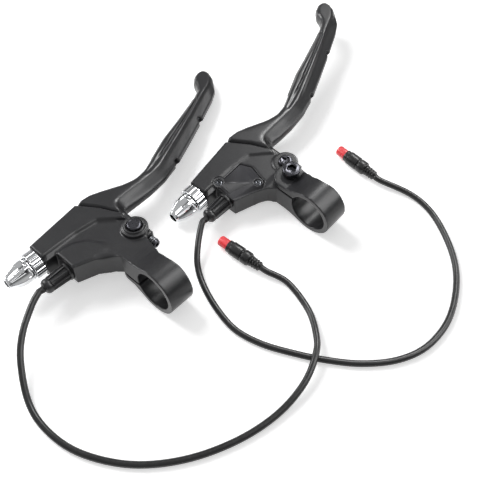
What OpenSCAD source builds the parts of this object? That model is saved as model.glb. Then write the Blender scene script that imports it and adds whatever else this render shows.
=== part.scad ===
// A pair of handlebar brake levers with switch cords, lying on a flat surface.
// One set of modules makes the left lever in its own frame: X along the handlebar towards the
// blade tip, Y from the handlebar towards the blade, Z out of the top face, origin on the
// handlebar axis. The right lever is its mirror image, laid top face down.

/* [Handlebar clamp] */
// Diameter of the handlebar that the clamp grips
bar_d = 22.2; // [21.6:0.1:23]
// Radial slack of the open clamp on the handlebar
clamp_slack = 0.05; // [0.02:0.01:0.15]
// Wall of the clamp band
band_wall = 3; // [2.6:0.1:3.4]
// Width of the clamp band along the handlebar
band_w = 16; // [14:0.5:17]
// How far the handlebar axis lies below the middle plane of the blade
clamp_drop = 4.75; // [4.4:0.05:5.2]
// Height of the saw cut that splits the clamp
split_gap = 1.4; // [1:0.1:1.8]
// Thickness of the clamp lug under its bolt
lug_t = 3.4; // [3:0.1:4]
// Distance from the handlebar axis to the clamp bolt
clamp_bolt_y = 20.5; // [20:0.1:21]
// Thread diameter of the clamp bolt
clamp_bolt_d = 5; // [4:0.5:5.5]
// Head diameter of the clamp bolt
clamp_head_d = 9.8; // [9:0.1:10.2]
// Head height of the clamp bolt
clamp_head_h = 4.3; // [3.8:0.1:5]
// Width across flats of the clamp bolt's hexagon socket
clamp_hex = 4; // [3:0.5:5]

/* [Housing] */
// How far the housing reaches inboard of the clamp
housing_in = 36; // [34:0.5:38]
// Distance from the handlebar axis to the brake cable
cable_y = 55.5; // [55:0.1:56]
// Width of the cable end of the housing
cable_end_w = 10.6; // [10:0.1:11.4]
// Thickness of the housing
housing_t = 16; // [15.6:0.1:16.8]
// Height of the neck's top face above the middle plane
neck_top = 5.8; // [5.4:0.1:6.2]
// Depth of the switch pod's underside below the middle plane
pod_under = 7; // [6.8:0.1:7.4]
// How far the switch pod reaches inboard of the clamp
pod_in = 29; // [28.5:0.5:30]
// Radius of the ears that carry the pivot
ear_r = 7.2; // [6.9:0.1:7.6]
// Clearance between the blade and the housing
blade_gap = 0.3; // [0.2:0.05:0.4]

/* [Pivot] */
// Pivot position along the handlebar
pivot_x = 8.9; // [8.7:0.1:9.2]
// Distance from the handlebar axis to the pivot
pivot_y = 30; // [29.8:0.1:30.3]
// Diameter of the pivot pin
pin_d = 6; // [5:0.1:6.4]
// Radial running clearance on the pivot pin
pin_clear = 0.05; // [0.02:0.01:0.09]
// Head diameter of the pivot pin and of the screw that closes it
pin_head_d = 8.2; // [7.6:0.1:8.6]
// Head height of the pivot pin
pin_head_h = 2.3; // [2:0.1:2.4]
// Wall of the bush in the blade
bush_wall = 1.1; // [0.9:0.1:1.2]

/* [Blade] */
// Length of the blade from the pivot to its tip, along the handlebar
blade_l = 118; // [112:1:124]
// Thickness of the blade root between the ears
root_t = 8; // [7.4:0.2:8.2]
// Radius of the blade root round the pivot
root_r = 6; // [5.9:0.05:6.1]
// Thickness of the blade beside the housing
blade_t = 14.6; // [13.6:0.2:15.4]
// Thickness of the blade at its tip
tip_t = 9.6; // [8.4:0.2:10]
// Depth of the grip strip let into the blade
inlay_depth = 1.8; // [1.2:0.1:2.4]
// Width of the grip strip
inlay_w = 6.4; // [5:0.2:7]
// Head diameter of the two strip screws
inlay_screw_d = 4; // [3.4:0.1:4.4]

/* [Cable adjuster] */
// Thread diameter of the barrel adjuster
barrel_thread_d = 8; // [7:0.1:8.4]
// Largest diameter of the barrel adjuster
barrel_d = 13.4; // [12.6:0.1:14]
// Length of the barrel adjuster outside the lock nut
barrel_l = 14; // [13:0.5:16]
// Diameter of the seat for the cable's outer casing
casing_d = 5.1; // [4.6:0.1:5.5]
// Depth of that seat
casing_seat = 7; // [6:0.5:8]
// Bore for the bare cable
wire_bore = 2.4; // [2:0.1:3]
// Diameter of the lock nut
nut_d = 15; // [14:0.1:15.2]
// Length of the lock nut
nut_l = 6; // [5:0.2:7]
// Thread diameter of the adjusting screw at the pivot
adjust_d = 3.6; // [3:0.1:4]

/* [Switch and gland] */
// Distance from the handlebar axis to the cord gland
gland_y = 40.5; // [40:0.1:41]
// How far the gland axis lies below the middle plane
gland_drop = 1.7; // [1.5:0.1:1.8]
// Flange diameter of the gland nut
gland_d = 10.5; // [9.6:0.1:10.6]
// Length of the gland nut
gland_l = 15.5; // [14:0.5:17]
// Diameter of the cord
cord_d = 3.5; // [3.2:0.1:3.6]
// Diameter of the switch plunger
plunger_d = 3; // [2.6:0.1:3.2]
// Travel of the switch plunger
plunger_travel = 1.5; // [1:0.1:2]
// Thickness of the switch cover
cover_t = 1.8; // [1.4:0.1:2.2]
// Head diameter of the cover screws
cover_screw_d = 4.4; // [4:0.1:4.8]

/* [Connector] */
// Diameter of the connector body
plug_d = 7.8; // [7.4:0.1:8.4]
// Length of the connector with its strain relief
plug_l = 28; // [26:0.5:30]
// Diameter of the coloured insert
insert_d = 5.9; // [5.4:0.1:6.2]
// Length of the insert that shows
insert_l = 6; // [5:0.5:7]

/* [Hidden] */
$fn = 48;

over = 1;                                    // how far a cut runs past a face
fit = 0.05;                                  // radial slack of a thread or a seated piece
seat = 0.1;                                  // gap beside a piece that turns or drops in
pivot = [pivot_x, pivot_y];
half_t = housing_t / 2;
ridge_top = half_t - 1;
bore_r = bar_d / 2 + clamp_slack;
ring_r = bore_r + band_wall;

// Clamp lug, its bolt and the saw cut
arm_under = -(half_t - 0.2);
lug_top = arm_under - split_gap;
lug_under = lug_top - lug_t;
bolt_at = [2.5, clamp_bolt_y];
bolt_in = 10.8;                              // thread length above the lug
lug_round = band_w / 2;
strap_angle = -62;                           // where the lug leaves the ring
strap = ring_r * [cos(strap_angle), sin(strap_angle)] - [0, clamp_drop];
strap_run = (lug_under - strap[1]) * tan(-strap_angle);

// Outlines of the housing in the XY plane, counter-clockwise
cable_lo = cable_y - cable_end_w / 2;
cable_hi = cable_y + cable_end_w / 2;
seam = [pivot + [2.3, 12.6], [8.6, 47.3], [5.7, 53.7], [-2.2, 65.5]];
panel = concat([[-housing_in, cable_lo], [-14, cable_lo], [-0.8, 48.4], pivot + [1, 8.3]], seam,
    [[-housing_in, cable_hi]]);
ridge = [[-housing_in + 2.6, cable_lo], [-14, cable_lo], [-0.8, 48.4], [6, 42.1], [7.4, 42.6],
    [5.4, 47.5], [2.4, 53], [-3.8, 60.2], [-housing_in + 2.6, cable_hi - 3]];
neck = [[-band_w / 2, 4], [band_w / 2 - 1, 4], [band_w / 2 - 1, 9], [9.5, 18],
    pivot + [1.6, -7.2], pivot + [3, 0], pivot + [1, 10], [0, cable_lo + 1],
    [-pod_in, cable_lo + 1], [-pod_in, 34], [-18, 30], [-11, 25.5], [-band_w / 2, 22]];
waist = [[band_w / 2 + 0.4, -ring_r - over], [band_w / 2 - 0.4, -4], [band_w / 2 - 1.6, 3],
    [band_w / 2 - 2.4, 9], [band_w / 2 - 2.3, 13], [band_w / 2 - 1.2, 16.6], [9, 20.4],
    [10.5, 22.8], [3 * band_w, 22.8], [3 * band_w, -ring_r - over]];
tongue = [[-pod_in + 0.2, 34.6], [-18.4, 31], [-11.5, 29.3], [-8.2, 31.8], [-9.7, 37.6],
    [-13, 42.9], [-18.2, 46.3], [-23.3, 48.1], [-pod_in + 0.2, 47.4]];
tongue_up = 0.7;                             // height of the raised leaf on the pod
neck_side = [[0, -clamp_drop], [0, ring_r - clamp_drop], [5, 8.5], [8.5, 7.3], [12, 6.4],
    [17, neck_top], [cable_lo + 2, neck_top], [cable_lo + 2, -pod_under], [30, -pod_under],
    [27, arm_under], [4, arm_under]];

// Blade root, its cavity and the blade outline
cavity_t = root_t + 0.5;
root_left = [pivot + [-root_r, 0], [0.2, 46], [-3.6, 52.4], [-3.6, 57.5]];
root = concat([pivot + [root_r - 0.9, 27], pivot + [-root_r - 0.9, 30]],
    [for (i = [3:-1:0]) root_left[i]], [pivot + [root_r, 0], pivot + [root_r, 16]]);
cavity = [pivot + [-root_r - 0.7, -1], [-0.6, 45.8], [-4.4, 52], [-4.4, 61.4], [1, 62.2],
    [24, 66], [24, 26], pivot + [0, -1]];
blade_seam = [for (i = [len(seam) - 1:-1:0]) seam[i] + blade_gap * [0.9, 0.5]];
stretch = blade_l / 118;
function along(points) = [for (p = points) [pivot_x + (p[0] - pivot_x) * stretch, p[1]]];
finger_in = along([[16.4, 46.7], [24, 46.2], [34, 46.4], [47.2, 48], [60, 52.4], [75.7, 59.2],
    [93.1, 66.9], [111.8, 75.7], [118.4, 79.8]]);
paddle = along([[121.6, 83.6], [125.2, 88.2], [127.2, 93], [127.2, 96.4], [125, 98.6],
    [121.4, 98.9], [117.4, 97.2], [113.9, 93.8], [112, 89.8], [109.4, 86.4]]);
grip_line = along([[103, 83.1], [97.6, 81.1], [81.6, 75.7], [66, 70.7], [50, 63.6]]);
finger_out = along([[41, 59.6], [33.6, 58.6], [26.6, 60.1], [18.7, 63.6], [14.2, 65.6], [8, 67.4],
    [2, 67.8]]);
blade_edge = concat(finger_in, paddle, grip_line, finger_out, blade_seam);
blade_round = 2.2;                           // rounding of the blade's edges
blade_slope = 4.2;                           // how far its inner wall leans back above that
slope_share = [0.7, 1, 1, 1, 1, 1, 1, 1, 0.75, 0.3];
blade_levels = [[-1, sloped(blade_round)], [-0.75, sloped(0.7)], [-0.3, 0], [0.3, 0],
    [0.75, sloped(0.7)], [1, sloped(blade_round)]];
taper = (1 - tip_t / blade_t) / blade_l;
bush_r = pin_d / 2 + pin_clear + bush_wall;
spring_wire = 0.8;
spring_r = bush_r + 0.8 + spring_wire / 2;
spring_floor = 0.9;                          // top of the root under the spring
inlay_at = along([[59.8, 54.6], [93.7, 69.2]]);
inlay_turn = 23.3;
inlay_head_h = 1.4;

// Cable adjuster, adjusting screw
nut_x = -housing_in - seat;
barrel_x = nut_x - nut_l - seat;
thread_in = 11;                              // thread length inside the housing
adjust_x = pivot_x + 3.2;
web_y = pivot_y - 7.4;
adjust_tip = pivot_y - sqrt(pow(root_r, 2) - pow(adjust_x - adjust_d / 2 - pivot_x, 2)) - 0.4;
adjust_gap = 2.6;                            // room for the screw's spring
washer_t = 0.7;
adjust_head_h = 1.8;
adjust_head_r = 2.5;
adjust_room = 7;                             // length of the hollow it lies in

// Switch, cover and gland
pocket_x = [-26.2, -9.4];
pocket_y = [35.6, 47];
pocket_top = neck_top - 2.2;
cover_in = -pod_under + cover_t;
cover_edge = [[-pod_in + 0.7, 34.8], [-18.4, 30.9], [-12.6, 27.8], [-8.8, 29], [-5.6, 42.2],
    [-8.4, cable_lo - 1.6], [-pod_in + 0.7, cable_lo - 1.6]];
screw_at = [[-25.5, cable_lo - 1.4], [-11.4, 32.6]];
screw_boss = [3.4, 3];
plunger_at = [-15, 42, -1];
plunger_stem = 15.6;                         // from the collar to the blade root
collar_t = 1.4;
spring_l = 4;
gland_spigot = 2.6;
gland_thread = 3;                            // radius of the spigot
seal_l = 1.6;

// Connector
collar_l = 2;
relief_l = 7;

// How the two levers and their cords lie
pair_shift = [28.9, -67.4, 0];
left_turn = [-5.26, 2.65, 46.68];
right_turn = [0.24, -3.22, 47.63];
function turned(r, p) = let(
    a = [p[0], p[1] * cos(r[0]) - p[2] * sin(r[0]), p[1] * sin(r[0]) + p[2] * cos(r[0])],
    b = [a[0] * cos(r[1]) + a[2] * sin(r[1]), a[1], a[2] * cos(r[1]) - a[0] * sin(r[1])])
    [b[0] * cos(r[2]) - b[1] * sin(r[2]), b[0] * sin(r[2]) + b[1] * cos(r[2]), b[2]];
function ring_low(r, x, z) = turned(r, [x, 0, z])[2] - ring_r * cos(r[1]);
function disc_low(r, p, radius) = turned(r, p)[2] - radius * sqrt(1 - pow(turned(r, [0, 0, 1])[2], 2));
blade_low = [for (p = grown(blade_edge, sloped(blade_round))) [p[0], p[1], -blade_half(p[0])]];
left_lift = -min(concat([ring_low(left_turn, band_w / 2, -clamp_drop),
    disc_low(left_turn, [bolt_at[0], bolt_at[1], lug_under - clamp_head_h], clamp_head_d / 2)],
    [for (p = blade_low) turned(left_turn, p)[2]]));
right_lift = -min(ring_low(right_turn, -band_w / 2, clamp_drop),
    disc_low(right_turn, [pivot_x, pivot_y, -half_t - pin_head_h], pin_head_d / 2),
    turned(right_turn, [-housing_in, cable_hi, -half_t])[2]);
left_at = [-38.96, -28.56, left_lift] + pair_shift;
right_at = [41.6, 20.37, right_lift] + pair_shift;
gland_end = [-pod_in - gland_l - seal_l, gland_y, -gland_drop];
left_plug_at = [-11, 4, plug_d / 2] + pair_shift;
left_plug_turn = -38.7;
right_plug_at = [58, 68, plug_d / 2] + pair_shift;
right_plug_turn = -46;

// Cord routes as they lie, from the gland to the connector, axis height last
lie = cord_d / 2;
left_route = [[-104, -43, 15], [-107, -56, 12], [-107, -69, 8], [-102, -87, 3], [-93, -100, lie],
    [-78, -111, lie], [-59, -117, lie], [-40, -118, lie], [-19, -114, lie], [2, -105, lie],
    [19, -93, 2.4], [31, -79, 4.2], [37, -65, 5.8], [38, -54, 4.8], [35, -38, 2], [25, -22, 2.2]];
right_route = [[-22, 6, 8.2], [-23, -2, 5.8], [-23, -11, 3], [-20, -22, lie], [-13, -36, lie],
    [-3, -49, lie], [10, -57, lie], [25, -62, lie], [42, -66, lie], [60, -68, lie],
    [78, -66, lie], [93, -59, lie], [105, -46, lie], [112, -30, lie], [115, -12, lie],
    [113, 6, lie], [107, 24, lie], [97, 36, 2.4]];

// Helpers: an edge's outward normal, an outline moved outwards, by one amount or one for each
// corner, the blade outline's moves at a rounded level, one step of a smooth curve
function outward(p, q) = [q[1] - p[1], p[0] - q[0]] / norm(q - p);
function grown(edge, by) = let(n = len(edge)) [for (i = [0:n - 1]) let(
    u = outward(edge[(i + n - 1) % n], edge[i]),
    v = outward(edge[i], edge[(i + 1) % n]),
    step = is_list(by) ? by[i] : by) edge[i] + step * (u + v) / (1 + u * v)];
function sloped(rounding) = [for (i = [0:len(blade_edge) - 1])
    -rounding - (i < len(slope_share) ? blade_slope * slope_share[i] : 0)];
function blade_half(x) = blade_t / 2 * (1 - taper * x);
function unit(v) = v / norm(v);
function curve(a, b, c, d, t) = 0.5 * (2 * b + (c - a) * t + (2 * a - 5 * b + 4 * c - d) * t * t
    + (3 * b - a - 3 * c + d) * t * t * t);
function smooth(p, steps) = let(n = len(p)) concat([for (i = [0:n - 2]) for (k = [0:steps - 1])
    curve(p[max(i - 1, 0)], p[i], p[i + 1], p[min(i + 2, n - 1)], k / steps)], [p[n - 1]]);
function shifted(points, by) = [for (p = points) p + by];

// Triangles that fill a flat outline, one ear after the other
function crossed(a, b, c) = (b[0] - a[0]) * (c[1] - b[1]) - (b[1] - a[1]) * (c[0] - b[0]);
function holds(a, b, c, q) = crossed(a, b, q) >= 0 && crossed(b, c, q) >= 0 && crossed(c, a, q) >= 0;
function is_ear(p, ids, i) = let(n = len(ids), a = ids[(i + n - 1) % n], b = ids[i], c = ids[(i + 1) % n])
    crossed(p[a], p[b], p[c]) > 0
    && len([for (q = ids) if (q != a && q != b && q != c && holds(p[a], p[b], p[c], p[q])) q]) == 0;
function ears(p, ids) = len(ids) == 3 ? [ids] : let(n = len(ids),
    k = [for (i = [0:n - 1]) if (is_ear(p, ids, i)) i][0])
    concat([[ids[(k + n - 1) % n], ids[k], ids[(k + 1) % n]]],
        ears(p, [for (i = [0:n - 1]) if (i != k) ids[i]]));

// A solid through rings of n points each, closed by the faces in caps at both ends
module skin(points, n, low_cap, high_cap) {
    rings = len(points) / n;
    polyhedron(points, concat(low_cap,
        [for (k = [0:rings - 2]) for (i = [0:n - 1]) for (half = [0, 1])
            let(a = k * n + i, b = k * n + (i + 1) % n)
            half == 0 ? [a, a + n, b + n] : [a, b + n, b]],
        [for (f = high_cap) [for (i = [len(f) - 1:-1:0]) (rings - 1) * n + f[i]]]));
}
// Level rings of one outline, each [height, growth], with heights scaled along X if asked
module loft(edge, levels, lean = function(x) 1) {
    n = len(edge);
    all = [for (i = [0:n - 1]) i];
    skin([for (l = levels) for (p = grown(edge, l[1])) [p[0], p[1], l[0] * lean(p[0])]], n,
        ears(grown(edge, levels[0][1]), all), ears(grown(edge, levels[len(levels) - 1][1]), all));
}
// A round bar of constant radius along a path
module tube(path, radius, sides = 8) {
    n = len(path);
    cap = [[for (k = [0:sides - 1]) k]];
    skin([for (i = [0:n - 1]) let(
        d = unit(path[min(i + 1, n - 1)] - path[max(i - 1, 0)]),
        s = unit(cross(d, [0, 0, 1])),
        u = cross(s, d)) for (k = [0:sides - 1]) let(a = -360 * (k + 0.5) / sides)
        path[i] + radius * (cos(a) * s + sin(a) * u)], sides, cap, cap);
}
// A coil spring that stands on the XY plane
module coil(radius, wire, length, turns, ends = []) {
    path = [for (i = [0:turns * 12]) let(a = 30 * i)
        [radius * cos(a), radius * sin(a), wire / 2 + (length - wire) * i / (turns * 12)]];
    tube(concat(path, ends), wire / 2, 6);
}
module along_x(at) {
    translate(at)
        rotate([0, 90, 0])
            children();
}
module cross_slot(size, depth) {
    for (turn = [0, 90])
        rotate(turn)
            translate([-size / 2, -size * 0.13, 0])
                cube([size, size * 0.26, depth]);
}

// Housing: clamp band, arm, neck with its switch pod, front box and ears, in one casting
module clamp_bore() {
    along_x([-band_w / 2 - over, 0, -clamp_drop])
        cylinder(h = band_w + 2 * over, r = bore_r, $fn = 96);
}
module clamp_lug() {
    intersection() {
        rotate([90, 0, 90])
            linear_extrude(band_w, center = true)
                polygon([strap, [strap[0] + strap_run, lug_under], [40, lug_under], [40, lug_top],
                    [0, lug_top], [0, strap[1]]]);
        translate([0, 0, lug_under - 10])
            union() {
                translate([-lug_round, 0, 0])
                    cube([2 * lug_round, 20, 20]);
                translate([0, 20, 0])
                    cylinder(h = 20, r = lug_round);
            }
    }
}
module ear_discs() {
    for (side = [0, 1])
        mirror([0, 0, side])
            translate([pivot_x, pivot_y, 0]) {
                cylinder(h = half_t, r = ear_r);
                cylinder(h = half_t + 1.2, r = 5.7);
            }
}
module casting() {
    along_x([-band_w / 2, 0, -clamp_drop])
        cylinder(h = band_w, r = ring_r, $fn = 96);
    clamp_lug();
    intersection() {
        translate([0, 0, -20])
            linear_extrude(40)
                polygon(neck);
        rotate([90, 0, 90])
            linear_extrude(4 * housing_in, center = true)
                polygon(neck_side);
    }
    loft(panel, [[-half_t, -0.9], [-half_t + 0.9, 0], [half_t - 0.9, 0], [half_t, -0.9]]);
    loft(ridge, [[-ridge_top, -0.3], [-ridge_top + 1.7, 2.4], [ridge_top - 1.7, 2.4], [ridge_top, -0.3]]);
    along_x([-housing_in, cable_y, 0])
        cylinder(h = 12, r = cable_end_w / 2 + 0.6);
    loft(tongue, [[0, 0], [neck_top + 0.1, 0], [neck_top + tongue_up, -tongue_up]]);
    ear_discs();
    translate([pivot_x, web_y, -cavity_t / 2])
        cube([ear_r - 1.2, 5, cavity_t]);
}
module waist_cut() {
    translate([0, 0, -2 * ring_r])
        linear_extrude(4 * ring_r)
            polygon(waist);
}
module root_space() {
    translate([0, 0, -cavity_t / 2]) {
        linear_extrude(cavity_t)
            polygon(cavity);
        translate(pivot)
            cylinder(h = cavity_t, r = root_r + 0.3);
    }
}
module pivot_holes() {
    translate([pivot_x, pivot_y, 0]) {
        cylinder(h = housing_t + 4, r = pin_d / 2 + pin_clear, center = true);
        for (side = [0, 1])
            mirror([0, 0, side])
                translate([0, 0, half_t])
                    cylinder(h = 3, r = pin_head_d / 2 + 0.4);
    }
}
module switch_space() {
    translate([pocket_x[0], pocket_y[0], cover_in - over])
        cube([pocket_x[1] - pocket_x[0], pocket_y[1] - pocket_y[0], pocket_top - cover_in + over]);
    translate([0, 0, cover_in - 6]) {
        linear_extrude(6)
            polygon(grown(cover_edge, seat));
        translate(screw_at[0])
            cylinder(h = 6, r = screw_boss[0] + seat);
    }
    for (p = screw_at)
        translate([p[0], p[1], cover_in - over])
            cylinder(h = 5 + over, r = 1.1);
    along_x([pocket_x[1] - over, plunger_at[1], plunger_at[2]])
        cylinder(h = 12, r = plunger_d / 2 + fit + seat);
    along_x([-pod_in - over, gland_y, -gland_drop])
        cylinder(h = gland_spigot + 3, r = gland_thread + fit);
}
module housing() {
    color("#4c4c4e")
        difference() {
            casting();
            waist_cut();
            clamp_bore();
            translate([-band_w, 0, lug_top])
                cube([2 * band_w, 40, split_gap]);
            translate([bolt_at[0], bolt_at[1], lug_under - over])
                cylinder(h = bolt_in + lug_t + 2, r = clamp_bolt_d / 2 + fit);
            root_space();
            pivot_holes();
            switch_space();
            along_x([-housing_in - over, cable_y, 0])
                cylinder(h = thread_in + over + 1, r = barrel_thread_d / 2 + fit);
            along_x([-housing_in, cable_y, 0])
                cylinder(h = housing_in, r = wire_bore / 2);
            translate([adjust_x, web_y - over, 0])
                rotate([-90, 0, 0])
                    cylinder(h = 8, r = adjust_d / 2 + fit);
            translate([adjust_x, web_y - adjust_room, 0])
                rotate([-90, 0, 0])
                    cylinder(h = adjust_room, r = adjust_head_r + 0.7);
        }
}
module clamp_bolt() {
    color("#2b2b2c")
        translate([bolt_at[0], bolt_at[1], lug_under])
            difference() {
                union() {
                    cylinder(h = bolt_in + lug_t, r = clamp_bolt_d / 2);
                    translate([0, 0, -clamp_head_h + 0.5])
                        cylinder(h = clamp_head_h - 0.5, r = clamp_head_d / 2);
                    translate([0, 0, -clamp_head_h])
                        cylinder(h = 0.5, r1 = clamp_head_d / 2 - 0.5, r2 = clamp_head_d / 2);
                }
                translate([0, 0, -clamp_head_h - over])
                    cylinder(h = 2.4 + over, d = clamp_hex / cos(30), $fn = 6);
            }
}

// Pivot
module pivot_pin() {
    color("#3a3a3b")
        translate([pivot_x, pivot_y, 0])
            difference() {
                union() {
                    translate([0, 0, -half_t])
                        cylinder(h = housing_t, r = pin_d / 2);
                    translate([0, 0, half_t])
                        cylinder(h = pin_head_h, r = pin_head_d / 2);
                }
                translate([0, 0, -half_t - over])
                    cylinder(h = 7 + over, r = pin_d / 3 + fit);
                translate([0, 0, half_t + pin_head_h - 0.5])
                    cylinder(h = 1, r = pin_head_d / 2 - 1.2);
            }
}
module pivot_screw() {
    color("#3a3a3b")
        translate([pivot_x, pivot_y, -half_t])
            difference() {
                union() {
                    cylinder(h = 6, r = pin_d / 3);
                    translate([0, 0, -1.8])
                        cylinder(h = 1.8, r = pin_head_d / 2);
                }
                translate([0, 0, -1.8 - over])
                    cross_slot(pin_head_d * 0.55, 1.2 + over);
            }
}
module pivot_bush() {
    color("#b08d4f")
        translate([pivot_x, pivot_y, 0])
            difference() {
                cylinder(h = root_t, r = bush_r, center = true);
                cylinder(h = root_t + 2, r = pin_d / 2 + pin_clear, center = true);
            }
}
module return_spring() {
    color("#9a9c9f")
        translate([pivot_x, pivot_y, spring_floor + 0.3])
            coil(spring_r, spring_wire, root_t / 2 - spring_floor - 0.4, 2,
                [[spring_r, 4, root_t / 2 - spring_floor - 0.8]]);
}

// Blade with its root, grip strip and strip screws
module strip(depth, half_w) {
    translate([0, 0, -half_w])
        linear_extrude(2 * half_w)
            polygon(concat(grip_line, [for (i = [len(grip_line) - 1:-1:0])
                grip_line[i] + depth * [0.36, -0.93]]));
}
module blade_shape() {
    loft(blade_edge, blade_levels, function(x) blade_half(x));
}
module at_strip_screws() {
    for (p = inlay_at)
        translate([p[0], p[1], 0])
            rotate([0, 0, inlay_turn])
                rotate([-90, 0, 0])
                    children();
}
module blade() {
    color("#505052")
        difference() {
            union() {
                blade_shape();
                translate([0, 0, -root_t / 2]) {
                    linear_extrude(root_t)
                        polygon(root);
                    translate(pivot)
                        cylinder(h = root_t, r = root_r);
                }
            }
            translate([pivot_x, pivot_y, 0]) {
                cylinder(h = root_t + 2, r = bush_r, center = true);
                translate([0, 0, spring_floor])
                    cylinder(h = root_t, r = spring_r + spring_wire / 2 + 0.4);
                translate([0, -8, root_t / 2 - 1.8])
                    cube([8, 16, root_t]);
            }
            strip(inlay_depth + fit, inlay_w / 2 + fit);
            at_strip_screws()
                translate([0, 0, -4])
                    cylinder(h = 4 + inlay_head_h, r = inlay_screw_d / 2 + seat);
            at_strip_screws()
                cylinder(h = 9, r = inlay_screw_d / 4 + fit);
            translate([-1, cable_y, -root_t])
                cylinder(h = 2 * root_t, r = 1.4);
            along_x([-6, cable_y, 0])
                cylinder(h = 5, r = wire_bore / 2);
        }
}
module grip_inlay() {
    color("#2e2e2f")
        strip(inlay_depth, inlay_w / 2);
}
module inlay_screws() {
    color("#9a9c9f")
        at_strip_screws()
            difference() {
                union() {
                    cylinder(h = inlay_head_h, r = inlay_screw_d / 2);
                    cylinder(h = 8.6, r = inlay_screw_d / 4);
                }
                translate([0, 0, -over])
                    cross_slot(inlay_screw_d * 0.6, 0.8 + over);
            }
}

// Cable adjuster: each piece turns about the cable's axis
module barrel_adjuster() {
    r = barrel_d / 2;
    tip_r = casing_d / 2 + 0.75;
    color("#c9cbce")
        along_x([barrel_x, cable_y, 0])
            rotate([180, 0, 0])
                difference() {
                    rotate_extrude()
                        polygon([[0, -nut_l - seat - thread_in], [barrel_thread_d / 2, -nut_l - seat
                            - thread_in], [barrel_thread_d / 2, 0], [r - 0.6, 0], [r, 0.6],
                            [r, barrel_l * 0.3], [r - 0.3, barrel_l * 0.44],
                            [r - 0.9, barrel_l * 0.58], [r - 1.8, barrel_l * 0.72],
                            [tip_r + 0.6, barrel_l - 2], [tip_r, barrel_l - 1.4],
                            [tip_r, barrel_l], [0, barrel_l]]);
                    translate([0, 0, barrel_l - casing_seat])
                        cylinder(h = casing_seat + over, r = casing_d / 2);
                    translate([0, 0, -2 * thread_in])
                        cylinder(h = 3 * thread_in, r = wire_bore / 2);
                    for (k = [0:5])
                        rotate(60 * k)
                            translate([r + 2.6, 0, barrel_l * 0.17])
                                rotate([0, -9, 0])
                                    cylinder(h = barrel_l, r = 3.4);
                }
}
module lock_nut() {
    color("#c9cbce")
        along_x([nut_x - nut_l, cable_y, 0])
            difference() {
                cylinder(h = nut_l, r = nut_d / 2);
                translate([0, 0, -over])
                    cylinder(h = nut_l + 2 * over, r = barrel_thread_d / 2 + fit);
                for (k = [0:15])
                    rotate(22.5 * k)
                        translate([nut_d / 2 + 0.4, 0, -over])
                            cylinder(h = nut_l + 2 * over, r = 0.9);
            }
}

// Adjusting screw beside the arm, its washer and its spring
module at_adjust(y) {
    translate([adjust_x, y, 0])
        rotate([-90, 0, 0])
            children();
}
module adjust_screw() {
    spring_foot = web_y - adjust_gap;
    color("#2f2f30")
        at_adjust(spring_foot - washer_t - adjust_head_h)
            difference() {
                union() {
                    cylinder(h = adjust_tip - spring_foot + washer_t + adjust_head_h,
                        r = adjust_d / 2);
                    cylinder(h = adjust_head_h, r = adjust_head_r);
                }
                translate([0, 0, -over])
                    cylinder(h = 1.2 + over, d = 2.4, $fn = 6);
            }
}
module adjust_washer() {
    color("#b9bbbe")
        at_adjust(web_y - adjust_gap - washer_t)
            difference() {
                cylinder(h = washer_t, r = adjust_head_r + 0.3);
                translate([0, 0, -over])
                    cylinder(h = washer_t + 2 * over, r = adjust_d / 2 + fit);
            }
}
module adjust_spring() {
    color("#9a9c9f")
        at_adjust(web_y - adjust_gap + fit)
            coil(adjust_d / 2 + 0.55, 0.5, adjust_gap - 2 * fit, 3);
}

// Switch in the pod, its cover and the cord's gland
module switch_module() {
    color("#1d1d1e")
        difference() {
            translate([pocket_x[0] + seat, pocket_y[0] + seat, cover_in])
                cube([pocket_x[1] - pocket_x[0] - 2 * seat, pocket_y[1] - pocket_y[0] - 2 * seat,
                    pocket_top - cover_in]);
            along_x(plunger_at - [spring_l, 0, 0])
                cylinder(h = spring_l + collar_t + plunger_travel + 0.3, r = plunger_d / 2 + 0.55);
            along_x(plunger_at)
                cylinder(h = 20, r = plunger_d / 2 + fit);
        }
}
module switch_plunger() {
    color("#d8d4c8")
        along_x(plunger_at) {
            cylinder(h = plunger_stem, r = plunger_d / 2);
            cylinder(h = collar_t, r = plunger_d / 2 + 0.5);
        }
}
module plunger_spring() {
    color("#9a9c9f")
        along_x(plunger_at - [spring_l, 0, 0])
            coil(plunger_d / 2 - 0.2, 0.4, spring_l - 0.1, 4);
}
module switch_cover() {
    color("#454547")
        difference() {
            union() {
                loft(cover_edge, [[-pod_under, -0.6], [-pod_under + 0.6, 0], [cover_in, 0]]);
                for (k = [0, 1])
                    translate([screw_at[k][0], screw_at[k][1], -pod_under - 0.5])
                        cylinder(h = cover_t + 0.5, r = screw_boss[k]);
            }
            for (p = screw_at)
                translate([p[0], p[1], -pod_under - 2]) {
                    cylinder(h = cover_t + 3, r = 1.2);
                    cylinder(h = 2 + 0.9, r = cover_screw_d / 2 + seat);
                }
        }
}
module cover_screws() {
    color("#8d8f92")
        for (p = screw_at)
            translate([p[0], p[1], -pod_under + 0.9])
                difference() {
                    union() {
                        cylinder(h = 5, r = 1.05);
                        translate([0, 0, -1.1])
                            cylinder(h = 1.1, r = cover_screw_d / 2);
                    }
                    translate([0, 0, -1.1 - over])
                        cross_slot(cover_screw_d * 0.62, 0.8 + over);
                }
}
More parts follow.
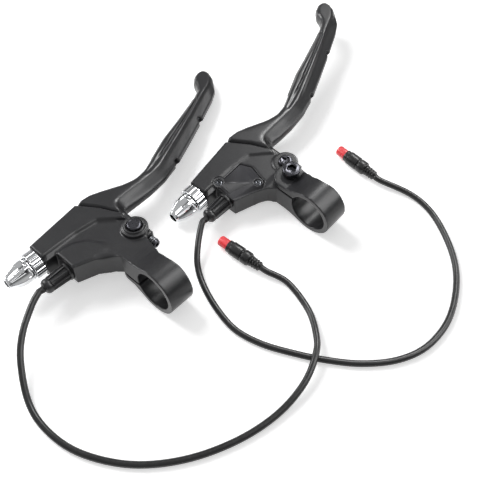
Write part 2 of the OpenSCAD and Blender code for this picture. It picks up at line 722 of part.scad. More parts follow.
module gland_nut() {
    tail_r = cord_d / 2 + 2;
    color("#262627")
        along_x([-pod_in, gland_y, -gland_drop])
            rotate([180, 0, 0])
                difference() {
                    union() {
                        translate([0, 0, -gland_spigot])
                            cylinder(h = gland_spigot, r = gland_thread);
                        cylinder(h = 1.6, r = gland_d / 2);
                        cylinder(h = gland_l, r1 = gland_d / 2 - 0.7, r2 = tail_r - 0.3);
                        translate([0, 0, gland_l - 2.4])
                            cylinder(h = 2.4, r1 = tail_r + 0.2, r2 = tail_r - 0.6);
                        for (k = [0:9])
                            rotate(36 * k)
                                translate([tail_r - 1, -0.4, 1])
                                    cube([gland_d / 2 - tail_r + 0.4, 0.8, gland_l * 0.55]);
                    }
                    translate([0, 0, -gland_spigot - over])
                        cylinder(h = gland_l + gland_spigot + 2 * over, r = cord_d / 2 + 0.1);
                }
}
module gland_seal() {
    color("#1f1f20")
        along_x(gland_end)
            cylinder(h = seal_l + 6, r = cord_d / 2 + fit);
}

// Cord and its connector
module plug_solid(rings) {
    rotate([0, 90, 0])
        rotate_extrude()
            polygon(rings);
}
module plug_insert() {
    r = insert_d / 2;
    color("#ee4a4c")
        difference() {
            plug_solid([[0, 0], [r - 0.7, 0], [r, 0.8], [r, insert_l], [r - 1.4, insert_l],
                [r - 1.4, insert_l + 3], [0, insert_l + 3]]);
            along_x([-over, 0, 0])
                cylinder(h = insert_l - 1, r = r - 1);
            translate([-over, -0.5, r - 0.4])
                cube([insert_l - 1, 1, 1]);
        }
}
module plug_contacts() {
    color("#c9a24a")
        for (k = [0:2])
            rotate([120 * k, 0, 0])
                along_x([0.9, 0, 1])
                    cylinder(h = insert_l - 1.9, r = 0.35);
}
module plug_collar() {
    r = insert_d / 2;
    color("#202021")
        plug_solid([[r - 1.3, insert_l], [plug_d / 2 - 0.5, insert_l], [plug_d / 2 - 0.2,
            insert_l + 0.4], [plug_d / 2 - 0.2, insert_l + collar_l], [r - 1.3,
            insert_l + collar_l]]);
}
module plug_body() {
    r = plug_d / 2;
    x0 = insert_l + collar_l;
    groove = x0 + (plug_l - relief_l - x0) * 0.55;
    neck_r = cord_d / 2 + 1.3;
    color("#262627")
        plug_solid(concat([[0, insert_l + 3], [insert_d / 2 - 1.4, insert_l + 3],
            [insert_d / 2 - 1.4, x0], [r - 0.3, x0], [r, x0 + 0.4], [r, groove],
            [r - 0.7, groove], [r - 0.7, groove + 1], [r, groove + 1], [r, plug_l - relief_l - 1],
            [r - 0.8, plug_l - relief_l]],
            [for (k = [0:3]) for (q = [[0, -0.5], [0.3, 0], [1.1, 0], [1.4, -0.7]])
                [r - 1 + q[1] - k * (r - 1 - neck_r) / 4, plug_l - relief_l + 0.2 + q[0] + k * 1.7]],
            [[cord_d / 2, plug_l], [0, plug_l]]));
}
module cord(route, start, start_dir, plug_at, plug_turn) {
    plug_dir = [cos(plug_turn), sin(plug_turn), 0];
    end = plug_at + plug_l * plug_dir;
    color("#232324")
        tube(concat([start, start + 2 * start_dir],
            smooth(route, 2), [end + 4 * plug_dir, end]), cord_d / 2);
}

module left_lever() {
    translate(left_at)
        rotate(left_turn)
            children();
}
module right_lever() {
    translate(right_at)
        rotate(right_turn)
            mirror([0, 0, 1])
                children();
}
module left_plug() {
    translate(left_plug_at)
        rotate(left_plug_turn)
            children();
}
module right_plug() {
    translate(right_plug_at)
        rotate(right_plug_turn)
            children();
}
module left_cord() {
    cord(shifted(left_route, pair_shift), left_at + turned(left_turn, gland_end),
        turned(left_turn, [-1, 0, 0]), left_plug_at, left_plug_turn);
}
module right_cord() {
    cord(shifted(right_route, pair_shift),
        right_at + turned(right_turn, [gland_end[0], gland_end[1], -gland_end[2]]),
        turned(right_turn, [-1, 0, 0]), right_plug_at, right_plug_turn);
}

left_lever() housing();  // left_housing
left_lever() clamp_bolt();  // left_clamp_bolt
left_lever() pivot_pin();  // left_pivot_pin
left_lever() pivot_screw();  // left_pivot_screw
left_lever() pivot_bush();  // left_pivot_bush
left_lever() return_spring();  // left_return_spring
left_lever() blade();  // left_blade
left_lever() grip_inlay();  // left_grip_inlay
left_lever() inlay_screws();  // left_inlay_screws
left_lever() barrel_adjuster();  // left_barrel_adjuster
left_lever() lock_nut();  // left_lock_nut
left_lever() adjust_screw();  // left_adjust_screw
left_lever() adjust_washer();  // left_adjust_washer
left_lever() adjust_spring();  // left_adjust_spring
left_lever() switch_module();  // left_switch_module
left_lever() switch_plunger();  // left_switch_plunger
left_lever() plunger_spring();  // left_plunger_spring
left_lever() switch_cover();  // left_switch_cover
left_lever() cover_screws();  // left_cover_screws
left_lever() gland_nut();  // left_gland_nut
left_lever() gland_seal();  // left_gland_seal
left_cord();
left_plug() plug_body();  // left_plug_body
left_plug() plug_collar();  // left_plug_collar
left_plug() plug_insert();  // left_plug_insert
left_plug() plug_contacts();  // left_plug_contacts
right_lever() housing();  // right_housing
right_lever() clamp_bolt();  // right_clamp_bolt
right_lever() pivot_pin();  // right_pivot_pin
right_lever() pivot_screw();  // right_pivot_screw
right_lever() pivot_bush();  // right_pivot_bush
right_lever() return_spring();  // right_return_spring
right_lever() blade();  // right_blade
right_lever() grip_inlay();  // right_grip_inlay
right_lever() inlay_screws();  // right_inlay_screws
right_lever() barrel_adjuster();  // right_barrel_adjuster
right_lever() lock_nut();  // right_lock_nut
right_lever() adjust_screw();  // right_adjust_screw
right_lever() adjust_washer();  // right_adjust_washer
right_lever() adjust_spring();  // right_adjust_spring
right_lever() switch_module();  // right_switch_module
right_lever() switch_plunger();  // right_switch_plunger
right_lever() plunger_spring();  // right_plunger_spring
right_lever() switch_cover();  // right_switch_cover
right_lever() cover_screws();  // right_cover_screws
right_lever() gland_nut();  // right_gland_nut
right_lever() gland_seal();  // right_gland_seal
right_cord();
right_plug() plug_body();  // right_plug_body
right_plug() plug_collar();  // right_plug_collar
right_plug() plug_insert();  // right_plug_insert
right_plug() plug_contacts();  // right_plug_contacts
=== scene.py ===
"""Looks of a pair of handlebar brake levers with switch cords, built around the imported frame.

The left lever lies top face up and the right one underside up. Every piece is made once in the
left lever's own frame, in millimetres: X along the handlebar towards the blade tip, Y from the
handlebar towards the blade, Z out of the top face. It is then copied to both levers, mirrored
for the right one.
"""

import logging
import math
from collections.abc import Callable, Sequence
from dataclasses import dataclass
from enum import Enum

import bpy
from mathutils import Matrix, Vector
from mathutils.bvhtree import BVHTree


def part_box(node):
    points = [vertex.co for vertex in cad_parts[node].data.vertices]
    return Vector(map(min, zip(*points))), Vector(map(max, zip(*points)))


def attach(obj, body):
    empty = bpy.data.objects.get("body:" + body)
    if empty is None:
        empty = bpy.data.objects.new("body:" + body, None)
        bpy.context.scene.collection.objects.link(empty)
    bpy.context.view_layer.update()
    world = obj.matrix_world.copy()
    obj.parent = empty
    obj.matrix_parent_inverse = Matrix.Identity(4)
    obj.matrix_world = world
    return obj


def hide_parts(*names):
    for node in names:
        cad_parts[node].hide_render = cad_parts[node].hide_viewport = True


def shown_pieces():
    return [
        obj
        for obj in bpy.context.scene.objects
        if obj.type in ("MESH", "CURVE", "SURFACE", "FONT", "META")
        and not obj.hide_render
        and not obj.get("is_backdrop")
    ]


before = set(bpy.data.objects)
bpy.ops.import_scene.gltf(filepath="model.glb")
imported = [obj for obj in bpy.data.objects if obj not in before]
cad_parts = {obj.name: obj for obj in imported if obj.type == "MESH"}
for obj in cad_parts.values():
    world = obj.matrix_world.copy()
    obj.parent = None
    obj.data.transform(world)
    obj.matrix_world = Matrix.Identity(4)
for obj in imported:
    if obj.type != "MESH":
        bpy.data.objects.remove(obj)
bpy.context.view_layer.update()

logging.basicConfig(level=logging.INFO, format="%(name)s: %(message)s")
log = logging.getLogger("levers")

MM = 0.001
PHOTO_W, PHOTO_H = 481, 500
# Corners of a CAD part that lie closer than this, in millimetres, are one corner.
CAD_WELD = 0.004
# Turns a head that is made looking up so that it looks down.
DOWN = Matrix.Rotation(math.pi, 4, "X")
Point = tuple[float, float, float]


# ---------------------------------------------------------------- choices


class Side(Enum):
    """The two levers of the pair."""

    LEFT = "left"
    RIGHT = "right"


class Slot(Enum):
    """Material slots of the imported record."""

    HOUSING = "housing"
    BLADE = "blade"
    COVER = "cover"
    BLACK_STEEL = "black_steel"
    PLATED_STEEL = "plated_steel"
    SPRING_STEEL = "spring_steel"
    CHROME = "chrome"
    GRIP = "grip"
    BLACK_PLASTIC = "black_plastic"
    CORD = "cord"
    PLUG_RUBBER = "plug_rubber"
    RED_PLASTIC = "red_plastic"


class Drive(Enum):
    """Recess in the head of a screw or pin."""

    HEXAGON = "hexagon"
    CROSS = "cross"


class Edge(Enum):
    """How an image point reads the vertices of its piece that show."""

    LEFT = "left"
    RIGHT = "right"
    TOP = "top"
    BOTTOM = "bottom"
    MIDDLE = "middle"


# ---------------------------------------------------------------- finishes


def linear(hex_colour: str) -> tuple[float, float, float, float]:
    """Turns an sRGB hex colour to linear light.

    Args:
        hex_colour: Six hex digits after a hash sign.

    Returns:
        Linear red, green, blue and an alpha of one.
    """
    parts = [int(hex_colour[i : i + 2], 16) / 255 for i in (1, 3, 5)]
    red, green, blue = [
        c / 12.92 if c <= 0.04045 else ((c + 0.055) / 1.055) ** 2.4 for c in parts
    ]
    return red, green, blue, 1.0


def add_node(
    tree: bpy.types.NodeTree, kind: str, inputs: dict | None = None, **settings: object
) -> bpy.types.Node:
    """Adds a node, sets its properties, and sets or links its inputs.

    Args:
        tree: Node tree that takes the node.
        kind: Type name of the node.
        inputs: Input names or numbers, each with a socket to link or a value to set.
        **settings: Properties of the node by name.

    Returns:
        The new node.
    """
    node = tree.nodes.new(kind)
    for name, value in settings.items():
        setattr(node, name, value)
    for name, value in (inputs or {}).items():
        if isinstance(value, bpy.types.NodeSocket):
            tree.links.new(value, node.inputs[name])
        else:
            node.inputs[name].default_value = value
    return node


def compute(
    tree: bpy.types.NodeTree,
    operation: str,
    first: bpy.types.NodeSocket,
    second: bpy.types.NodeSocket | float,
) -> bpy.types.NodeSocket:
    """Adds a math node.

    Args:
        tree: Node tree that takes the node.
        operation: Name of the operation.
        first: Socket of the first value.
        second: Socket of the second value, or that value.

    Returns:
        The socket of the result.
    """
    return add_node(tree, "ShaderNodeMath", {0: first, 1: second}, operation=operation).outputs[0]


def empty_tree(owner: bpy.types.Material | bpy.types.World) -> bpy.types.NodeTree:
    """Gives a material or a world a node tree with nothing in it."""
    owner.use_nodes = True
    owner.node_tree.nodes.clear()
    return owner.node_tree


def set_stops(ramp: bpy.types.Node, stops: Sequence[tuple[float, tuple]]) -> None:
    """Gives a colour ramp its stops.

    Args:
        ramp: Colour ramp node, which starts with two stops.
        stops: Position and linear colour of each stop, lowest first.
    """
    line = ramp.color_ramp
    while len(line.elements) < len(stops):
        line.elements.new(0.5)
    for element, (place, colour) in zip(line.elements, stops):
        element.position = place
        element.color = colour


@dataclass(frozen=True)
class Finish:
    """A surface finish with a fine grain in its colour, gloss and relief.

    Grain sizes are real millimetres, and colours are sRGB hex.
    """

    name: str
    colour: str
    speck: str
    roughness: tuple[float, float]
    grain_mm: float
    relief_mm: float
    metallic: float = 0.0
    ior: float = 1.5
    cloud_mm: float = 9.0
    coat: float = 0.0
    coat_roughness: float = 0.2
    stretch: Point = (1.0, 1.0, 1.0)

    def make(self) -> bpy.types.Material:
        """Builds the material once, and hands back the same one after that.

        Returns:
            The material.
        """
        known = bpy.data.materials.get(self.name)
        if known:
            return known
        material = bpy.data.materials.new(self.name)
        tree = empty_tree(material)
        place = add_node(tree, "ShaderNodeTexCoord").outputs["Object"]
        along = add_node(
            tree, "ShaderNodeMapping", {"Vector": place, "Scale": self.stretch}
        ).outputs["Vector"]
        grain = self.noise(tree, along, self.grain_mm, 3.0)
        cloud = self.noise(tree, place, self.cloud_mm, 2.0)
        mixed = compute(tree, "MULTIPLY", grain, cloud)
        tone = add_node(tree, "ShaderNodeValToRGB", {"Fac": mixed})
        set_stops(tone, [(0.12, linear(self.colour)), (0.42, linear(self.speck))])
        low, high = self.roughness
        gloss = add_node(
            tree,
            "ShaderNodeMapRange",
            {"Value": grain, "From Min": 0.3, "From Max": 0.7, "To Min": low, "To Max": high},
        ).outputs["Result"]
        relief = add_node(
            tree,
            "ShaderNodeBump",
            {"Height": grain, "Distance": self.relief_mm * MM, "Strength": 1.0},
        ).outputs["Normal"]
        inputs = {
            "Base Color": tone.outputs["Color"],
            "Metallic": self.metallic,
            "Roughness": gloss,
            "Normal": relief,
            "Coat Weight": self.coat,
            "Coat Roughness": self.coat_roughness,
        }
        if not self.metallic:
            inputs["IOR"] = self.ior
        shader = add_node(tree, "ShaderNodeBsdfPrincipled", inputs)
        add_node(tree, "ShaderNodeOutputMaterial", {"Surface": shader.outputs["BSDF"]})
        material.diffuse_color = linear(self.colour)
        return material

    @staticmethod
    def noise(
        tree: bpy.types.NodeTree, place: bpy.types.NodeSocket, size_mm: float, detail: float
    ) -> bpy.types.NodeSocket:
        """Adds a noise pattern.

        Args:
            tree: Node tree that takes the node.
            place: Socket of the coordinates.
            size_mm: Size of the pattern in real millimetres.
            detail: How many finer layers it has.

        Returns:
            The socket of its strength.
        """
        return add_node(
            tree,
            "ShaderNodeTexNoise",
            {"Vector": place, "Scale": 1 / (size_mm * MM), "Detail": detail},
        ).outputs["Fac"]


# Satin black stove enamel on cast aluminium: a soft sheen with a slight orange peel.
CASTING_ENAMEL = Finish(
    "satin_enamel_on_cast_aluminium", "#242426", "#2b2b2d", (0.28, 0.35), 0.9, 0.004
)
# The same enamel on the forged blade, a touch smoother.
BLADE_ENAMEL = Finish(
    "satin_enamel_on_forged_aluminium", "#242426", "#2b2b2d", (0.28, 0.35), 0.8, 0.004
)
# Moulded ABS plate: an even matte face with a fine spark texture.
COVER_ABS = Finish("moulded_abs_cover", "#333336", "#3d3d40", (0.38, 0.48), 0.5, 0.008)
# Black oxide on steel: dark, slightly glossy metal with faint mottling.
BLACK_OXIDE = Finish(
    "black_oxide_steel", "#434347", "#58585d", (0.24, 0.34), 0.7, 0.001, metallic=1.0
)
# Zinc plate: a bright metal with fine turning marks.
ZINC_PLATE = Finish(
    "zinc_plated_steel", "#9c9ea2", "#b9bbbf", (0.24, 0.36), 0.4, 0.003, metallic=1.0
)
# Black zinc plate on the small screws: dark, with bright edges.
BLACK_ZINC = Finish(
    "black_zinc_plated_steel", "#4c4d50", "#66686c", (0.22, 0.34), 0.5, 0.003, metallic=1.0
)
# Drawn spring wire: grey steel with a soft shine.
SPRING_WIRE = Finish(
    "drawn_spring_steel", "#7c7e82", "#94969a", (0.28, 0.4), 0.5, 0.002, metallic=1.0
)
# Bright chrome plate: a near mirror with the faintest polishing haze.
CHROME_PLATE = Finish(
    "bright_chrome_plate", "#dfe1e4", "#eceded", (0.04, 0.08), 1.2, 0.0003, metallic=1.0
)
# Sintered bronze bush: dull and slightly porous.
SINTERED_BRONZE = Finish(
    "sintered_bronze", "#9a7440", "#b18a52", (0.4, 0.55), 0.35, 0.006, metallic=1.0
)
# Pressed rubber strip: dull black with a fine pebble grain, drawn coarse enough to show.
GRIP_RUBBER = Finish("pressed_grip_rubber", "#2c2c2d", "#353536", (0.55, 0.7), 0.6, 0.05)
# Glass filled nylon: moulded black plastic with a dry shine.
NYLON = Finish("moulded_black_nylon", "#232324", "#2b2b2d", (0.26, 0.34), 0.6, 0.004)
# Natural acetal: creamy white, waxy.
ACETAL = Finish("natural_acetal", "#d9d5c9", "#e3dfd4", (0.3, 0.4), 0.8, 0.002, ior=1.48)
# Soft rubber seal: dull black.
SEAL_RUBBER = Finish("soft_seal_rubber", "#1b1b1c", "#232324", (0.55, 0.7), 0.6, 0.01)
# Extruded PVC jacket: satin black with faint drawing marks.
CORD_JACKET = Finish("extruded_pvc_jacket", "#161617", "#252526", (0.28, 0.38), 1.0, 0.004)
# Overmoulded TPE connector: satin black, slightly grainy.
PLUG_TPE = Finish("overmoulded_black_tpe", "#19191a", "#212122", (0.30, 0.42), 0.5, 0.006)
# Coral polycarbonate insert: clean, bright and a little glossy.
CORAL_PC = Finish(
    "coral_polycarbonate", "#ee4248", "#f4555a", (0.24, 0.34), 1.0, 0.002, ior=1.58
)
# Gold flashed brass pins.
GOLD_FLASH = Finish(
    "gold_flashed_brass", "#c79d45", "#d9b25c", (0.18, 0.28), 0.5, 0.001, metallic=1.0
)

# The CAD nodes that still show, with their finishes.
SHOWN_NODES: dict[str, Finish] = {
    "pivot_bush": SINTERED_BRONZE,
    "return_spring": SPRING_WIRE,
    "switch_module": NYLON,
    "switch_plunger": ACETAL,
    "plunger_spring": SPRING_WIRE,
    "gland_seal": SEAL_RUBBER,
    "plug_contacts": GOLD_FLASH,
}


# ---------------------------------------------------------------- modelling bench


def clear_selection() -> None:
    """Leaves edit mode and deselects every object."""
    if bpy.context.object and bpy.context.object.mode != "OBJECT":
        bpy.ops.object.mode_set(mode="OBJECT")
    bpy.ops.object.select_all(action="DESELECT")


def take(piece: bpy.types.Object) -> None:
    """Makes one object the only selected and active one."""
    clear_selection()
    piece.select_set(True)
    bpy.context.view_layer.objects.active = piece


def apply_modifier(piece: bpy.types.Object, kind: str, **settings: object) -> None:
    """Adds a modifier to a piece and applies it.

    Args:
        piece: Mesh object.
        kind: Modifier type.
        **settings: Its properties by name.
    """
    take(piece)
    modifier = piece.modifiers.new(kind.lower(), kind)
    for name, value in settings.items():
        setattr(modifier, name, value)
    bpy.ops.object.modifier_apply(modifier=modifier.name)


def pick_faces(
    piece: bpy.types.Object, test: Callable[[Vector, Vector], bool]
) -> None:
    """Selects the faces of a piece by place and normal, and enters edit mode.

    Args:
        piece: Mesh object.
        test: Says whether a face with this centre and normal is wanted.
    """
    take(piece)
    mesh = piece.data
    for group in (mesh.vertices, mesh.edges):
        for item in group:
            item.select = False
    for face in mesh.polygons:
        face.select = test(face.center, face.normal)
    bpy.ops.object.mode_set(mode="EDIT")
    bpy.ops.mesh.select_mode(type="FACE")


def leave_edit() -> None:
    """Goes back to object mode."""
    bpy.ops.object.mode_set(mode="OBJECT")


def round_edges(
    piece: bpy.types.Object, width: float, segments: int = 2, angle: float = 30
) -> None:
    """Rounds the edges of a piece that are sharper than an angle in degrees."""
    apply_modifier(
        piece,
        "BEVEL",
        width=width,
        segments=segments,
        limit_method="ANGLE",
        angle_limit=math.radians(angle),
        harden_normals=False,
        use_clamp_overlap=True,
    )


def combine(
    piece: bpy.types.Object, tool: bpy.types.Object, operation: str = "DIFFERENCE"
) -> None:
    """Cuts, joins or intersects a piece with another one, which is used up.

    Args:
        piece: Mesh object that stays.
        tool: Mesh object that is removed.
        operation: DIFFERENCE, UNION or INTERSECT.
    """
    apply_modifier(piece, "BOOLEAN", object=tool, operation=operation, solver="EXACT")
    drop(tool)


def weigh(piece: bpy.types.Object, weight: Callable[[Vector], float]) -> str:
    """Marks part of a piece in a new vertex group.

    Args:
        piece: Mesh object.
        weight: Weight by place. What is below zero stays out, and one is the most.

    Returns:
        Name of the group.
    """
    group = piece.vertex_groups.new(name="zone")
    for vertex in piece.data.vertices:
        share = weight(vertex.co)
        if share > 0:
            group.add([vertex.index], min(1.0, share), "REPLACE")
    return group.name


def soften(
    piece: bpy.types.Object,
    voxel: float,
    rounds: int,
    zones: Sequence[tuple[Callable[[Vector], float], int]] = (),
) -> None:
    """Turns a sharp blank into a cast one: even cells, then rounds of smoothing.

    Args:
        piece: Closed mesh object.
        voxel: Cell size in millimetres, or zero where the piece has even cells.
        rounds: Smoothing rounds over the whole piece.
        zones: Further rounds, each with a weight by place.
    """
    if voxel:
        apply_modifier(piece, "REMESH", mode="VOXEL", voxel_size=voxel, adaptivity=0.0)
    apply_modifier(piece, "SMOOTH", factor=0.5, iterations=rounds)
    for weight, more in zones:
        zone = weigh(piece, weight)
        apply_modifier(piece, "SMOOTH", factor=0.5, iterations=more, vertex_group=zone)
    piece.vertex_groups.clear()


def nudge(piece: bpy.types.Object, distance: float, weight: Callable[[Vector], float]) -> None:
    """Moves part of a dense piece along X, by a weight that depends on the place.

    Args:
        piece: Mesh object with even cells.
        distance: How far a weight of one moves it, in millimetres.
        weight: Share of the distance by place, from zero to one.
    """
    zone = weigh(piece, weight)
    apply_modifier(
        piece, "DISPLACE", direction="X", strength=distance, mid_level=0.0, vertex_group=zone
    )
    piece.vertex_groups.clear()


def ramp(value: float, stops: Sequence[tuple[float, float]]) -> float:
    """Reads a broken line, which is level beyond its ends.

    Args:
        value: Place on the line.
        stops: Place and height of each corner, lowest place first.

    Returns:
        The height there.
    """
    if value <= stops[0][0]:
        return stops[0][1]
    for (a, low), (b, high) in zip(stops, stops[1:]):
        if value <= b:
            return low + (high - low) * (value - a) / (b - a)
    return stops[-1][1]


def start_round(
    name: str, radius: float, height: float, sides: int = 64, at: Point = (0, 0, 0)
) -> bpy.types.Object:
    """Adds a cylinder primitive that stands on a point.

    Args:
        name: Name of the new object.
        radius: Radius in millimetres.
        height: Height in millimetres.
        sides: Number of sides.
        at: Middle of its foot.

    Returns:
        The new object, with its place in its mesh.
    """
    clear_selection()
    bpy.ops.mesh.primitive_cylinder_add(
        vertices=sides, radius=radius, depth=height, location=(at[0], at[1], at[2] + height / 2)
    )
    piece = bpy.context.object
    piece.name = name
    bpy.ops.object.transform_apply(location=True, rotation=True, scale=True)
    return piece


def start_block(name: str, size: Point, middle: Point) -> bpy.types.Object:
    """Adds a block primitive.

    Args:
        name: Name of the new object.
        size: Its three sides in millimetres.
        middle: Its middle.

    Returns:
        The new object, with its place in its mesh.
    """
    clear_selection()
    bpy.ops.mesh.primitive_cube_add(size=1, location=middle, scale=size)
    piece = bpy.context.object
    piece.name = name
    bpy.ops.object.transform_apply(location=True, rotation=True, scale=True)
    return piece


def ring_of(tool: bpy.types.Object, count: int) -> bpy.types.Object:
    """Repeats a piece evenly about the Z axis, as one object.

    Args:
        tool: Piece to repeat.
        count: How many there are in the end.

    Returns:
        The same object, with all the copies in its mesh.
    """
    first = tool.data.copy()
    return gather(
        [tool]
        + [
            copy_of(first, tool.name, Matrix.Rotation(math.tau * k / count, 4, "Z"))
            for k in range(1, count)
        ]
    )


def copy_of(mesh: bpy.types.Mesh, name: str, place: Matrix) -> bpy.types.Object:
    """Makes an object with its own copy of a mesh.

    Args:
        mesh: Mesh to copy.
        name: Name of the new object.
        place: Where the copy goes.

    Returns:
        The new object, with its place in its mesh.
    """
    twin = bpy.data.objects.new(name, mesh.copy())
    bpy.context.scene.collection.objects.link(twin)
    twin.data.transform(place)
    return twin


def gather(pieces: Sequence[bpy.types.Object]) -> bpy.types.Object:
    """Joins separate pieces into the first one."""
    take(pieces[0])
    for piece in pieces[1:]:
        piece.select_set(True)
    bpy.ops.object.join()
    return pieces[0]


def repeat_at(blank: bpy.types.Object, places: Sequence[Matrix]) -> bpy.types.Object:
    """Copies a blank to several places as one object, and uses it up.

    Args:
        blank: Piece to copy.
        places: Where the copies go.

    Returns:
        One object with all the copies.
    """
    several = gather([copy_of(blank.data, f"{blank.name}_copy", place) for place in places])
    drop(blank)
    return several


def cut_drive(piece: bpy.types.Object, drive: Drive, size: float, top: float, depth: float) -> None:
    """Cuts the recess for a key or screwdriver into the top of a head.

    Args:
        piece: Head about the Z axis.
        drive: Kind of recess.
        size: Across flats of the hexagon, or length of the cross.
        top: Height of the head's top.
        depth: Depth of the recess.
    """
    if drive is Drive.HEXAGON:
        radius = size / math.sqrt(3)
        combine(piece, start_round("key", radius, depth + 1, 6, (0, 0, top - depth)))
        return
    for sides in ((size, size * 0.24), (size * 0.24, size)):
        combine(piece, start_block("key", (*sides, depth + 1), (0, 0, top - depth / 2 + 0.5)))
    combine(piece, start_round("key", size * 0.24, depth + 1, 16, (0, 0, top - depth)))


def draw_out(
    piece: bpy.types.Object,
    rings: Sequence[tuple[float, float]],
    start: tuple[float, float],
    up: bool = True,
) -> None:
    """Extrudes the end face of a round piece through rings, as on a lathe.

    Args:
        piece: Round piece about the Z axis.
        rings: Height and radius of each further ring.
        start: Height and radius of the end face that is drawn out.
        up: Whether that face looks along +Z.
    """
    height, radius = start
    sign = 1 if up else -1
    pick_faces(
        piece,
        lambda centre, normal: normal.z * sign > 0.9
        and abs(centre.z - height) < 1e-3
        and math.hypot(centre.x, centre.y) < 0.01,
    )
    for next_height, next_radius in rings:
        bpy.ops.mesh.extrude_region_move(
            TRANSFORM_OT_translate={"value": (0, 0, next_height - height)}
        )
        share = next_radius / radius
        bpy.ops.transform.resize(value=(share, share, 1), center_override=(0, 0, 0))
        height, radius = next_height, next_radius
    leave_edit()


def turn_on_lathe(
    name: str,
    radius: float,
    height: float,
    rings: Sequence[tuple[float, float]],
    sides: int = 64,
    foot: float = 0.0,
) -> bpy.types.Object:
    """Makes a round piece about the Z axis: a plain shank whose top is drawn out through rings.

    Args:
        name: Name of the new object.
        radius: Radius of the shank in millimetres.
        height: Height of the shank.
        rings: Height and radius of each ring above it.
        sides: Number of sides.
        foot: Height of the shank's foot.

    Returns:
        The new object.
    """
    piece = start_round(name, radius, height, sides, (0, 0, foot))
    draw_out(piece, rings, (foot + height, radius))
    return piece


def mend_normals(piece: bpy.types.Object, gap: float = 1e-7) -> None:
    """Merges corners that are closer than a gap, and turns every face outwards."""
    take(piece)
    bpy.ops.object.mode_set(mode="EDIT")
    bpy.ops.mesh.select_all(action="SELECT")
    bpy.ops.mesh.remove_doubles(threshold=gap)
    bpy.ops.mesh.normals_make_consistent(inside=False)
    leave_edit()


def drop(piece: bpy.types.Object) -> None:
    """Removes a blank that has served."""
    mesh = piece.data
    bpy.data.objects.remove(piece)
    bpy.data.meshes.remove(mesh)


# ---------------------------------------------------------------- the two levers' places


@dataclass(frozen=True)
class LeverFrame:
    """Where one lever lies: the turn of its own frame in degrees, and its bush as the anchor."""

    side: Side
    turn: Point
    pivot: Point = (8.9, 30.0, 0.0)

    @property
    def mirrored(self) -> bool:
        """Whether this lever is the mirror image of the modelled one."""
        return self.side is Side.RIGHT

    def matrix(self) -> Matrix:
        """Takes the left lever's own millimetres to this lever's place in metres."""
        x, y, z = (math.radians(a) for a in self.turn)
        turned = (
            Matrix.Rotation(z, 4, "Z") @ Matrix.Rotation(y, 4, "Y") @ Matrix.Rotation(x, 4, "X")
        )
        if self.mirrored:
            turned = turned @ Matrix.Diagonal((1, 1, -1, 1))
        turned = turned @ Matrix.Scale(MM, 4)
        low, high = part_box(self.node("pivot_bush"))
        return Matrix.Translation((low + high) / 2 - turned @ Vector(self.pivot)) @ turned

    def node(self, part: str) -> str:
        """Name of this lever's CAD node of a part."""
        return f"{self.side.value}_{part}"

    def body(self, part: str) -> str:
        """Name of the CAD body that a part of this lever rides on."""
        moving = {
            "blade": "blade_body",
            "grip_inlay": "blade_body",
            "inlay_screws": "blade_body",
            "barrel_adjuster": "barrel_body",
            "lock_nut": "nut_body",
            "adjust_screw": "adjust_body",
            "adjust_washer": "adjust_body",
        }
        return f"{self.side.value}_{moving[part]}" if part in moving else "base"


LEVERS = (
    LeverFrame(Side.LEFT, (-5.26, 2.65, 46.68)),
    LeverFrame(Side.RIGHT, (0.24, -3.22, 47.63)),
)


def along_x(at: Point, away: bool = False) -> Matrix:
    """Lays a piece made about +Z along +X, or along -X if it points away from the blade.

    Args:
        at: Where the piece's origin goes.
        away: Whether its +Z becomes -X.

    Returns:
        The placing matrix in the lever's own frame.
    """
    return Matrix.Translation(at) @ Matrix.Rotation(math.radians(-90 if away else 90), 4, "Y")


def finish_piece(
    piece: bpy.types.Object,
    lever: LeverFrame,
    part: str,
    finish: Finish,
    smooth: float,
) -> None:
    """Shades and dresses a placed piece, hangs it on the body that it rides on and logs that, and
    hides the CAD node that it stands for.

    Args:
        piece: Mesh object at the origin, with its place in its mesh.
        lever: Lever that it belongs to.
        part: Name of the CAD part that it stands for.
        finish: Its finish.
        smooth: Angle in degrees under which faces are shaded smooth.
    """
    take(piece)
    bpy.ops.object.shade_smooth_by_angle(angle=math.radians(smooth))
    piece.data.materials.clear()
    piece.data.materials.append(finish.make())
    body = lever.body(part)
    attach(piece, body)
    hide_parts(lever.node(part))
    log.info("%s rides on %s", piece.name, body)


def fit_to_levers(
    blank: bpy.types.Object,
    part: str,
    label: str,
    finish: Finish,
    place: Matrix | None = None,
    smooth: float = 40,
) -> None:
    """Copies a finished blank to both levers, and uses it up.

    Args:
        blank: Piece in millimetres.
        part: Name of the CAD part that it stands for.
        label: Plain name of the piece.
        finish: Its finish.
        place: Where the blank goes in the lever's own frame.
        smooth: Angle in degrees under which faces are shaded smooth.
    """
    for lever in LEVERS:
        there = lever.matrix() @ (place or Matrix.Identity(4))
        piece = copy_of(blank.data, f"{lever.side.value}_{label}", there)
        mend_normals(piece)
        finish_piece(piece, lever, part, finish, smooth)
    drop(blank)


def blank_from_frame(part: str) -> bpy.types.Object:
    """Copies the left lever's CAD part as a blank in the lever's own millimetres.

    Args:
        part: Name of the part.

    Returns:
        A closed mesh object, its doubles merged.
    """
    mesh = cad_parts[LEVERS[0].node(part)].data.copy()
    mesh.transform(LEVERS[0].matrix().inverted())
    blank = bpy.data.objects.new(f"{part}_blank", mesh)
    bpy.context.scene.collection.objects.link(blank)
    mend_normals(blank, CAD_WELD)
    return blank


# ---------------------------------------------------------------- camera and image points


